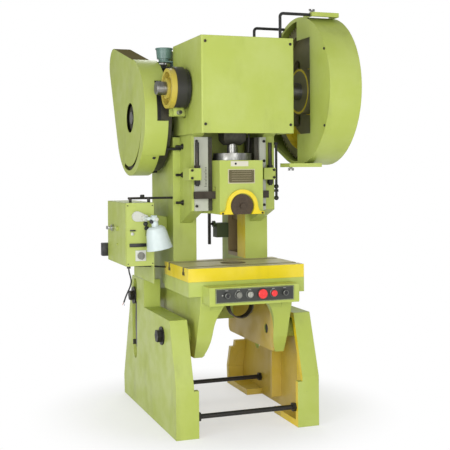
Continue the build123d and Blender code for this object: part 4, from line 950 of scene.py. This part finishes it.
@dataclass
class GuardTrim:
    """The screws of the cover and of both guards."""

    cover_x: float = 0.205
    cover_y: float = -0.485
    cover_rows: Pair = (1.388, 1.755)
    rim_x: float = 0.336
    rim_y: float = -0.568
    rim_rows: Pair = (1.383, 1.731)
    pan_r: float = 0.0065
    lip_screw: Triple = (-0.335, -0.103, 1.246)
    lip_screw_r: float = 0.0075
    wing_r: float = 0.007
    wing_half: float = 0.0014
    wing_edge: float = 0.0012
    top_wing: Triple = (0.344, -0.424, 1.917)
    low_wing: Triple = (0.2315, -0.425, 1.195)

    def wing(self, shape: Shape, at: Triple, facing: Facing) -> None:
        """Adds one wing screw.

        Args:
            shape: The shape that it is added to.
            at: Where it sits.
            facing: Where it points, up or down.
        """
        r, half = self.wing_r, self.wing_half
        shape.turned(scaled(WING_STEM, r), at, facing, 20)
        rise = 1.0 if facing is Facing.UP else -1.0
        for side in (-1, 1):
            x0, x1 = sorted((at[0] + side * 0.4 * r, at[0] + side * 2.2 * r))
            z0, z1 = sorted((at[2] + rise * 0.7 * r, at[2] + rise * 2.3 * r))
            shape.brick((x0, at[1] - half, z0), (x1, at[1] + half, z1), self.wing_edge)

    def build(self) -> None:
        """Builds the screws."""
        screws = Shape()
        for x in (-self.cover_x, self.cover_x):
            for z in self.cover_rows:
                screws.screw(Head.PAN, self.pan_r, (x, self.cover_y, z), Facing.FRONT)
        for z in self.rim_rows:
            screws.screw(Head.PAN, self.pan_r, (self.rim_x, self.rim_y, z), Facing.LEFT)
        screws.screw(Head.HEXAGON, self.lip_screw_r, self.lip_screw, Facing.FRONT, 12)
        screws.done("cover_screws", DARK_STEEL, "frame")
        wings = Shape()
        self.wing(wings, self.top_wing, Facing.UP)
        self.wing(wings, self.low_wing, Facing.DOWN)
        wings.done("wing_screws", TURNED_STEEL, "frame")


@dataclass
class BoxTrim:
    """What is fitted on the electric box, and the rod over its top."""

    front_y: float = -0.15
    top_z: float = 1.033
    plug_x: float = -0.516
    screw_columns: Pair = (-0.476, -0.358)
    screw_rows: Pair = (0.748, 1.02)
    screw_r: float = 0.003
    eye_x: float = -0.4552
    eye_z: float = 0.8886
    eye: Profile = ((0, 0), (0.008, 0), (0.008, 0.003), (0.006, 0.005), (0.003, 0.0062), (0, 0.0065))
    knob: Profile = ((0, 0), (0.009, 0), (0.0105, 0.003), (0.0105, 0.011), (0.008, 0.0135), (0, 0.014))
    knob_places: Profile = ((-0.393, 0.934), (-0.388, 0.913))
    rod_left: float = -0.4625
    rod_y: float = -0.1
    rod_rise: float = 0.02
    rod_r: float = 0.0055
    rod_long: float = 0.2185
    rod_knob_x: float = -0.393
    clip_columns: Pair = (-0.452, -0.362)
    conduit_r: float = 0.004
    conduit: Route = ((-0.43, -0.1, 0.733), (-0.36, -0.1, 0.731), (-0.3, -0.1, 0.724), (-0.2435, -0.1, 0.72))

    def front(self) -> None:
        """Builds the bars, the plug, the screws, the eye and the knobs."""
        y = self.front_y
        bar = Shape().brick((-0.4696, y - 0.009, 0.827), (-0.3894, y + SUNK, 0.8436), 0.002)
        bar.brick((-0.462, y - 0.011, 0.831), (-0.397, y - 0.008, 0.8396), 0.001)
        bar.brick((-0.4667, y - 0.006, 0.9005), (-0.4408, y + SUNK, 0.9075), 0.001)
        bar.done("box_bar", BLACK_PLASTIC, "frame")
        low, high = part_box("socket")
        plug_low = (self.plug_x, low.y + 0.006, low.z - 0.016)
        plug = Shape().brick(plug_low, (low.x + SUNK, high.y - 0.004, high.z - 0.01), 0.004)
        plug.done("socket_plug", BLACK_PLASTIC, "frame")
        # The dark strip stands for a slit in the box's front: painted shade.
        slit_shade_and_screws = Shape().brick((-0.3915, y - 0.002, 0.877), (-0.3885, y + SUNK, 0.9), 0.0006)
        for x in self.screw_columns:
            for z in self.screw_rows:
                slit_shade_and_screws.screw(Head.PAN, self.screw_r, (x, y, z), Facing.FRONT, 30)
        slit_shade_and_screws.done("box_screws_and_slit_shade", DARK_STEEL, "frame")
        eye = Shape().turned(self.eye, (self.eye_x, y, self.eye_z), Facing.FRONT, 24)
        eye.done("box_eye", WHITE_PLASTIC, "frame")
        knobs = Shape()
        for x, z in self.knob_places:
            knobs.turned(self.knob, (x, y, z), Facing.FRONT, 24)
        knobs.done("lamp_base_knobs", BLACK_PLASTIC, "frame")

    def over_the_top(self) -> None:
        """Builds the rod with its clips and knob, and the conduit behind the box."""
        y, z = self.rod_y, self.top_z + self.rod_rise
        rod = Shape().turned(rod_profile(self.rod_r, self.rod_long), (self.rod_left, y, z), Facing.RIGHT, 16)
        for x in self.clip_columns:
            rod.brick((x - 0.006, y - 0.008, self.top_z - SUNK), (x + 0.006, y + 0.008, z + 0.004), 0.001)
        rod.turned(self.knob, (self.rod_knob_x, y, z + 0.003), Facing.UP, 20)
        rod.done("box_rod", DARK_STEEL, "frame")
        bent_tube("wall_conduit", self.conduit, self.conduit_r, BLACK_PAINT, "frame")

    def build(self) -> None:
        """Builds the fittings."""
        self.front()
        self.over_the_top()


@dataclass
class PanelTrim:
    """The border, rings and marks of the button panel."""

    front_y: float = -0.549
    low_z: float = 0.602
    high_z: float = 0.666
    half: float = 0.186
    rim: float = 0.004
    rim_out: float = 0.0012
    button_z: float = 0.636
    cap_y: float = -0.5655
    columns: tuple[float, ...] = (-0.135, -0.080, -0.027, 0.032, 0.087, 0.141)
    screw_r: float = 0.0032
    ring: Profile = (
        (0.0085, 0), (0.013, 0), (0.013, 0.0012), (0.0115, 0.0022), (0.0095, 0.0022), (0.0085, 0.0014),
        (0.0085, 0),
    )
    bezel: Profile = ((0.0152, 0), (0.0182, 0), (0.0182, 0.003), (0.0152, 0.0036), (0.0152, 0))

    def build(self) -> None:
        """Builds the trim."""
        y, half, rim = self.front_y, self.half, self.rim
        front, back = y - self.rim_out, y + SUNK
        border = Shape()
        for z in (self.low_z, self.high_z - rim):
            border.brick((-half, front, z), (half, back, z + rim), 0.0004, 1)
        for x in (-half, half - rim):
            border.brick((x, front, self.low_z + rim), (x + rim, back, self.high_z - rim), 0.0004, 1)
        border.done("panel_border", Metal("panel_rim", srgb(150, 158, 124), 0.45, stained=0.4), "frame")
        marks = Shape()
        for x in self.columns:
            marks.brick((x - 0.007, y - 0.0008, 0.6555), (x + 0.007, y + 0.0003, 0.6575), 0.0002, 1)
        for x in (8 * rim - half, half - 8 * rim):
            marks.screw(Head.PAN, self.screw_r, (x, y, self.button_z), Facing.FRONT)
        marks.done("panel_marks", Moulded("panel_grey", srgb(176, 176, 168), 0.5), "frame")
        inch, run, mode, _, stop, start = self.columns
        for body, x in (("inch_button", inch), ("start_button", start)):
            ring = Shape().turned(self.ring, (x, self.cap_y, self.button_z), Facing.FRONT, 36)
            ring.done(f"{body}_ring", RING_STEEL, body)
        for body, x in (("run_button", run), ("mode_selector", mode), ("stop_button", stop)):
            bezel = Shape().turned(self.bezel, (x, y - 0.0002, self.button_z), Facing.FRONT, 36)
            bezel.done(f"{body}_bezel", RING_STEEL, "frame")


@dataclass
class SlideTrim:
    """What is on the ram and along its guides."""

    ram_y: float = -0.388
    gib_y: float = -0.297
    dot: Profile = ((0, 0), (0.0055, 0), (0.005, 0.0012), (0, 0.0016))
    line_count: int = 5
    line_low_z: float = 1.135
    line_step: float = 0.0105
    line_half: float = 0.048
    rivet_x: float = 0.0595
    rivet_rows: Pair = (1.128, 1.182)
    rivet_r: float = 0.0028
    arch_screw_x: float = 0.097
    arch_screw_z: float = 0.9862
    scale_count: int = 14
    scale_x: float = -0.137
    scale_low_z: float = 1.108
    scale_step: float = 0.0066
    gib_columns: Pair = (-0.187, 0.149)
    gib_rows: Triple = (1.018, 1.226, 1.318)
    wall_x: float = 0.207
    wall_y: float = -0.152
    wall_rows: Triple = (1.030, 1.1615, 1.2965)
    stud: Profile = ((0, 0), (0.0065, 0), (0.0065, 0.034), (0.005, 0.0355), (0, 0.0355))
    bracket_y: float = -0.340
    bracket_columns: Pair = (-0.222, 0.182)
    bracket_rows: Pair = (1.148, 1.183)
    stop_rod_x: float = 0.217
    stop_rod_z: float = 1.049
    stop_rod_r: float = 0.006
    stop_rod_long: float = 0.262
    eye_rows: Pair = (1.078, 1.302)
    ball_rows: Pair = (1.0375, 1.0925)
    ball_r: float = 0.0115

    def on_the_ram(self) -> None:
        """Builds the strip, the plate's lines and rivets, and the arch screws."""
        y = self.ram_y
        strip = Shape().brick((-0.052, y - 0.0015, 1.2005), (0.034, y + SUNK, 1.2245), 0.0005, 1)
        strip.done("ram_strip", Moulded("strip_white", srgb(202, 198, 180), 0.5), "ram")
        dot = Shape().turned(self.dot, (-0.028, y - 0.0014, 1.2125), Facing.FRONT, 24)
        dot.done("ram_strip_dot", BLACK_PLASTIC, "ram")
        lines, half = Shape(), self.line_half
        for row in range(self.line_count):
            z = self.line_low_z + self.line_step * row
            lines.brick((-half, y - 0.0026, z), (half, y - 0.0019, z + 0.0009), 0.0, 1)
        for x in (-self.rivet_x, self.rivet_x):
            for z in self.rivet_rows:
                lines.screw(Head.PAN, self.rivet_r, (x, y - 0.0019, z), Facing.FRONT)
        lines.done("name_plate_lines", Moulded("plate_lines", srgb(176, 170, 132), 0.5), "ram")
        arch_screws = Shape()
        for x in (-self.arch_screw_x, self.arch_screw_x):
            arch_screws.screw(Head.SOCKET, 0.0045, (x, y - 0.014, self.arch_screw_z), Facing.FRONT)
        arch_screws.done("arch_screws", DARK_STEEL, "ram")

    def on_the_guides(self) -> None:
        """Builds the scale, the screws of the gibs and the bolts of the guides."""
        y, left = self.gib_y, self.scale_x
        marks = Shape()
        for row in range(self.scale_count):
            z = self.scale_low_z + self.scale_step * row
            reach = 0.012 if row % 5 == 0 else 0.008
            marks.brick((left - reach, y - 0.0006, z), (left, y + 0.0003, z + 0.0022), 0.0, 1)
        marks.done("guide_scale", BLACK_PAINT, "frame")
        screws = Shape()
        for x in self.gib_columns:
            for z in self.gib_rows:
                screws.screw(Head.SOCKET, 0.0065, (x, y, z), Facing.FRONT)
        for z in self.wall_rows:
            for side, facing in ((-1, Facing.LEFT), (1, Facing.RIGHT)):
                at = (side * self.wall_x, self.wall_y, z)
                screws.screw(Head.HEXAGON, 0.0115, at, facing, 8)
                screws.turned(self.stud, at, facing, 20)
        for z in self.bracket_rows:
            for x in self.bracket_columns:
                screws.screw(Head.SOCKET, 0.006, (x, self.bracket_y, z), Facing.FRONT)
        screws.done("gib_screws", DARK_STEEL, "frame")

    def stop_rod(self) -> None:
        """Builds the rod beside the right guide, with its eyes and balls."""
        x, y, r = self.stop_rod_x, self.gib_y + 0.01, self.ball_r
        rod = Shape()
        rod.turned(rod_profile(self.stop_rod_r, self.stop_rod_long), (x, y, self.stop_rod_z), Facing.UP, 16)
        for z in self.eye_rows:
            rod.brick((0.2065, y - 0.008, z), (x + 0.008, y + 0.008, z + 0.012), 0.001)
        angles = [math.pi * i / 10 for i in range(11)]
        ball = [(r * math.sin(angle), r - r * math.cos(angle)) for angle in angles]
        for z in self.ball_rows:
            rod.turned(ball, (x, y, z), Facing.UP, 24)
        rod.done("stop_rod", BLACK_PAINT, "frame")

    def build(self) -> None:
        """Builds the trim."""
        self.on_the_ram()
        self.on_the_guides()
        self.stop_rod()


@dataclass
class CrankTrim:
    """The brake spring, the cap bolts and the oil pipes of the head."""

    band_x: float = -0.2715
    band_z: float = 1.448
    spring_turns: int = 6
    turn_steps: int = 8
    spring_ends: Pair = (-0.3235, -0.2985)
    spring_r: float = 0.0095
    wire_r: float = 0.0014
    cap_columns: Pair = (-0.03, 0.03)
    cap_rows: Pair = (-0.3685, -0.1715)
    cap_z: float = 1.6265
    cap_bolt_r: float = 0.0085
    anchor_x: float = -0.2165
    anchor_y: float = -0.2425
    anchor_rows: Pair = (1.437, 1.459)
    anchor_r: float = 0.005
    pipe_r: float = 0.003
    left_pipe: Route = (
        (-0.253, -0.005, 1.709), (-0.253, -0.005, 1.66), (-0.25, -0.03, 1.628), (-0.218, -0.12, 1.62),
        (-0.205, -0.17, 1.62),
    )
    front_pipe: Route = ((0.045, -0.37, 1.352), (0.045, -0.37, 1.3), (0.045, -0.36, 1.266))

    def spring(self) -> None:
        """Builds the brake spring."""
        start, end = self.spring_ends
        count = self.spring_turns * self.turn_steps
        points = []
        for i in range(count + 1):
            turn = 2 * math.pi * i / self.turn_steps
            x = self.band_x + self.spring_r * math.cos(turn)
            z = self.band_z + self.spring_r * math.sin(turn)
            points.append((x, start + (end - start) * i / count, z))
        bent_tube("brake_spring", points, self.wire_r, TURNED_STEEL, "frame")

    def build(self) -> None:
        """Builds the trim."""
        self.spring()
        bolts = Shape()
        for y in self.cap_rows:
            for x in self.cap_columns:
                bolts.screw(Head.HEXAGON, self.cap_bolt_r, (x, y, self.cap_z), Facing.UP, 15)
        bolts.done("rod_cap_bolts", TURNED_STEEL, "rod")
        screws = Shape()
        for z in self.anchor_rows:
            screws.screw(Head.HEXAGON, self.anchor_r, (self.anchor_x, self.anchor_y, z), Facing.FRONT)
        screws.done("brake_anchor_screws", DARK_STEEL, "frame")
        bent_tube("oil_pipe_left", self.left_pipe, self.pipe_r, DARK_STEEL, "frame")
        bent_tube("oil_pipe_front", self.front_pipe, self.pipe_r, DARK_STEEL, "frame")


@dataclass
class LampTrim:
    """The knobs on the lamp's neck and its bulb."""

    axis: Triple = (-0.372, -0.226, 0.962)
    knob: Profile = ((0, 0), (0.0075, 0), (0.009, 0.003), (0.009, 0.009), (0.0065, 0.0115), (0, 0.012))
    bulb: Profile = (
        (0, 0), (0.012, 0), (0.013, 0.014), (0.02, 0.03), (0.025, 0.046), (0.022, 0.062), (0.012, 0.071),
        (0, 0.073),
    )

    def build(self) -> None:
        """Builds the trim."""
        x, y, z = self.axis
        knob = Shape().turned(self.knob, (x - 0.0145, y - 0.004, z - 0.014), Facing.FRONT, 24)
        knob.done("lamp_knob", BLACK_PLASTIC, "lamp_shade")
        switch = Shape().turned(self.knob, (x + 0.009, y - 0.010, z - 0.003), Facing.FRONT, 24)
        switch.done("lamp_switch", WHITE_PLASTIC, "lamp_shade")
        bulb = Shape().turned(self.bulb, (x + 0.0105, y, z - 0.0525), Facing.DOWN, 32)
        bulb.done("lamp_bulb", BULB_GLASS, "lamp_shade")


@dataclass
class MotorTrim:
    """The fan cowl, the terminal-box lid and the feet bolts of the motor."""

    axis: Pair = (0.45, 1.738)
    end_x: float = 0.196
    cowl_rim: Profile = (
        (0.099, -0.05), (0.1015, -0.05), (0.1015, 0.004), (0.094, 0.012), (0.09, 0.012), (0.088, 0.009),
    )
    ring_count: int = 6
    ring_outer: float = 0.084
    ring_step: float = 0.0125
    groove: float = 0.009
    ridge: float = 0.012
    lid_columns: Pair = (0.028, 0.084)
    bolt_columns: Pair = (-0.02, 0.132)

    def cowl(self) -> list[Pair]:
        """Draws the cowl with the rings of its grille.

        Returns:
            Its profile.
        """
        profile = list(self.cowl_rim)
        for ring in range(self.ring_count):
            outer = self.ring_outer - self.ring_step * ring
            profile += [(outer, self.groove), (outer - 0.002, self.ridge)]
            profile += [(outer - 0.0065, self.ridge), (outer - 0.0085, self.groove)]
        return [*profile, (0.0, self.groove)]

    def build(self) -> None:
        """Builds the trim."""
        y, z = self.axis
        cowl = Shape().turned(self.cowl(), (self.end_x, y, z), Facing.RIGHT, 64)
        cowl.done("fan_cowl", GREEN_SHEET, "frame")
        lid = Shape().brick((0.0205, y - 0.0405, z + 0.134), (0.0915, y + 0.0405, z + 0.140), 0.002)
        for x in self.lid_columns:
            for side in (-1, 1):
                lid.screw(Head.PAN, 0.0032, (x, y + side * 0.033, z + 0.14), Facing.UP)
        lid.done("terminal_lid", GREEN_SHEET, "frame")
        bolts = Shape()
        for x in self.bolt_columns:
            for side in (-1, 1):
                bolts.screw(Head.HEXAGON, 0.009, (x, y + side * 0.078, z - 0.106), Facing.UP, 10)
        bolts.done("motor_bolts", DARK_STEEL, "frame")


@dataclass
class Cable:
    """The short cord that hangs from the electric box, with its bare end."""

    radius: float = 0.0035
    wire_r: float = 0.0012
    route: Route = (
        (-0.466, -0.120, 0.725), (-0.465, -0.121, 0.707), (-0.459, -0.124, 0.688), (-0.455, -0.126, 0.664),
        (-0.461, -0.127, 0.640), (-0.473, -0.127, 0.616), (-0.484, -0.127, 0.592), (-0.492, -0.126, 0.568),
    )
    wires: tuple[tuple[float, float, Finish], ...] = ((-0.007, -0.012, COPPER), (0.003, -0.015, BLUE_PLASTIC))

    def build(self) -> None:
        """Builds the cord and the ends of its wires."""
        cord = drawn_line("hanging_cord", self.route, self.radius, 6, 12)
        cord.data.materials.append(RUBBER.material())
        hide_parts("cord")
        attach(cord, "frame")
        x, y, z = self.route[-1]
        for number, (dx, dz, finish) in enumerate(self.wires):
            points = [(x, y, z), (x + 0.4 * dx - 0.001, y, z + 0.5 * dz), (x + dx, y + 0.002, z + dz)]
            bent_tube(f"cord_wire_{number + 1}", points, self.wire_r, finish, "frame")


@dataclass
class Studio:
    """The floor, the lamps and the camera."""

    eye: Triple = (-1.5024, -4.2838, 1.1936)
    azimuth: float = -19.631
    roll: float = -0.395
    lens: float = 72.85
    sensor: float = 36.0
    shift: Pair = (0.0151, -0.1268)
    floor_half: float = 6.0
    floor_z: float = -0.0005
    floor_tones: tuple[Triple, Triple] = ((0.93, 0.93, 0.93), (0.96, 0.96, 0.96))
    aim: Triple = (0.0, 0.0, 1.0)
    room_light: float = 0.47
    lamps: tuple[tuple[str, Triple, float, float], ...] = (
        ("front_lamp", (-0.9, -4.6, 1.25), 3.0, 108.0),
        ("left_lamp", (-3.8, -2.6, 1.5), 2.4, 85.0),
        ("right_lamp", (3.6, -2.4, 2.2), 2.2, 14.0),
        ("back_lamp", (0.8, 3.6, 3.4), 2.4, 50.0),
    )

    def camera(self) -> None:
        """Places the camera at the photograph's viewing angle."""
        data = bpy.data.cameras.new("camera")
        data.lens = self.lens
        data.sensor_width = self.sensor
        data.shift_x, data.shift_y = self.shift
        data.clip_end = 60.0
        view = bpy.data.objects.new("camera", data)
        turn = Matrix.Rotation(math.radians(self.azimuth), 4, "Z") @ Matrix.Rotation(math.radians(90), 4, "X")
        turn = turn @ Matrix.Rotation(math.radians(self.roll), 4, "Z")
        view.matrix_world = Matrix.Translation(self.eye) @ turn
        bpy.context.scene.collection.objects.link(view)
        bpy.context.scene.camera = view

    def pale_floor(self) -> bpy.types.Material:
        """Makes the floor's material, which glows white to the camera away from the press.

        Returns:
            The material.
        """
        r = Recipe("pale_floor")
        r.surface("Roughness", 0.9)
        r.surface("Base Color", r.mix(r.ramp(r.noise(3.0), 0.3, 0.7), *self.floor_tones))
        glow = r.node("ShaderNodeEmission")
        glow.inputs["Strength"].default_value = 1.0
        path = r.node("ShaderNodeLightPath")
        seen = r.math("MAXIMUM", path.outputs["Is Camera Ray"], path.outputs["Is Glossy Ray"])
        seen = r.math("MAXIMUM", seen, path.outputs["Is Transmission Ray"])
        x, y, _ = r.axes()
        far = r.math("SQRT", r.math("ADD", r.math("MULTIPLY", x, x), r.math("MULTIPLY", y, y)))
        share = r.math("MULTIPLY", seen, r.ramp(far, 0.5, 0.95, 0.5, 1.0))
        blend = r.node("ShaderNodeMixShader")
        r.link(share, blend.inputs[0])
        r.link(r.shader.outputs[0], blend.inputs[1])
        r.link(glow.outputs[0], blend.inputs[2])
        r.link(blend.outputs[0], r.out.inputs["Surface"])
        return r.made

    def floor(self) -> None:
        """Lays the pale floor."""
        mesh = bmesh.new()
        bmesh.ops.create_grid(mesh, x_segments=1, y_segments=1, size=self.floor_half)
        data = bpy.data.meshes.new("floor")
        mesh.to_mesh(data)
        mesh.free()
        plane = bpy.data.objects.new("floor", data)
        plane.location = (0, 0, self.floor_z)
        bpy.context.scene.collection.objects.link(plane)
        data.materials.append(self.pale_floor())

    def lamp(self, name: str, place: Triple, size: float, power: float) -> None:
        """Hangs a soft square lamp that points at the press.

        Args:
            name: The lamp's name.
            place: Where it hangs.
            size: The length of its side.
            power: Its power in watts.
        """
        data = bpy.data.lights.new(name, "AREA")
        data.size = size
        data.energy = power
        light = bpy.data.objects.new(name, data)
        aim = Vector(self.aim) - Vector(place)
        light.matrix_world = Matrix.Translation(place) @ aim.to_track_quat("-Z", "Y").to_matrix().to_4x4()
        bpy.context.scene.collection.objects.link(light)

    def light(self) -> None:
        """Lights the press softly against white."""
        world = bpy.data.worlds.new("white_room")
        bpy.context.scene.world = world
        world.use_nodes = True
        nodes, links = world.node_tree.nodes, world.node_tree.links
        nodes.clear()
        out = nodes.new("ShaderNodeOutputWorld")
        room, white = nodes.new("ShaderNodeBackground"), nodes.new("ShaderNodeBackground")
        for light, strength in ((room, self.room_light), (white, 1.0)):
            light.inputs["Color"].default_value = (1.0, 1.0, 1.0, 1.0)
            light.inputs["Strength"].default_value = strength
        path = nodes.new("ShaderNodeLightPath")
        blend = nodes.new("ShaderNodeMixShader")
        links.new(path.outputs["Is Camera Ray"], blend.inputs[0])
        links.new(room.outputs[0], blend.inputs[1])
        links.new(white.outputs[0], blend.inputs[2])
        links.new(blend.outputs[0], out.inputs[0])
        for lamp in self.lamps:
            self.lamp(*lamp)

    def build(self) -> None:
        """Sets up the view."""
        bpy.context.scene.view_settings.view_transform = "Standard"
        self.camera()
        self.floor()
        self.light()


def main() -> None:
    """Builds the press's looks in order."""
    logging.basicConfig(level=logging.INFO, format="%(message)s")
    Studio().build()
    Cable().build()
    Dressing().dress()
    for part in (GuardTrim(), BoxTrim(), PanelTrim(), SlideTrim(), CrankTrim(), LampTrim(), MotorTrim()):
        part.build()
    log.info("the press is dressed")


if __name__ == "__main__":
    main()
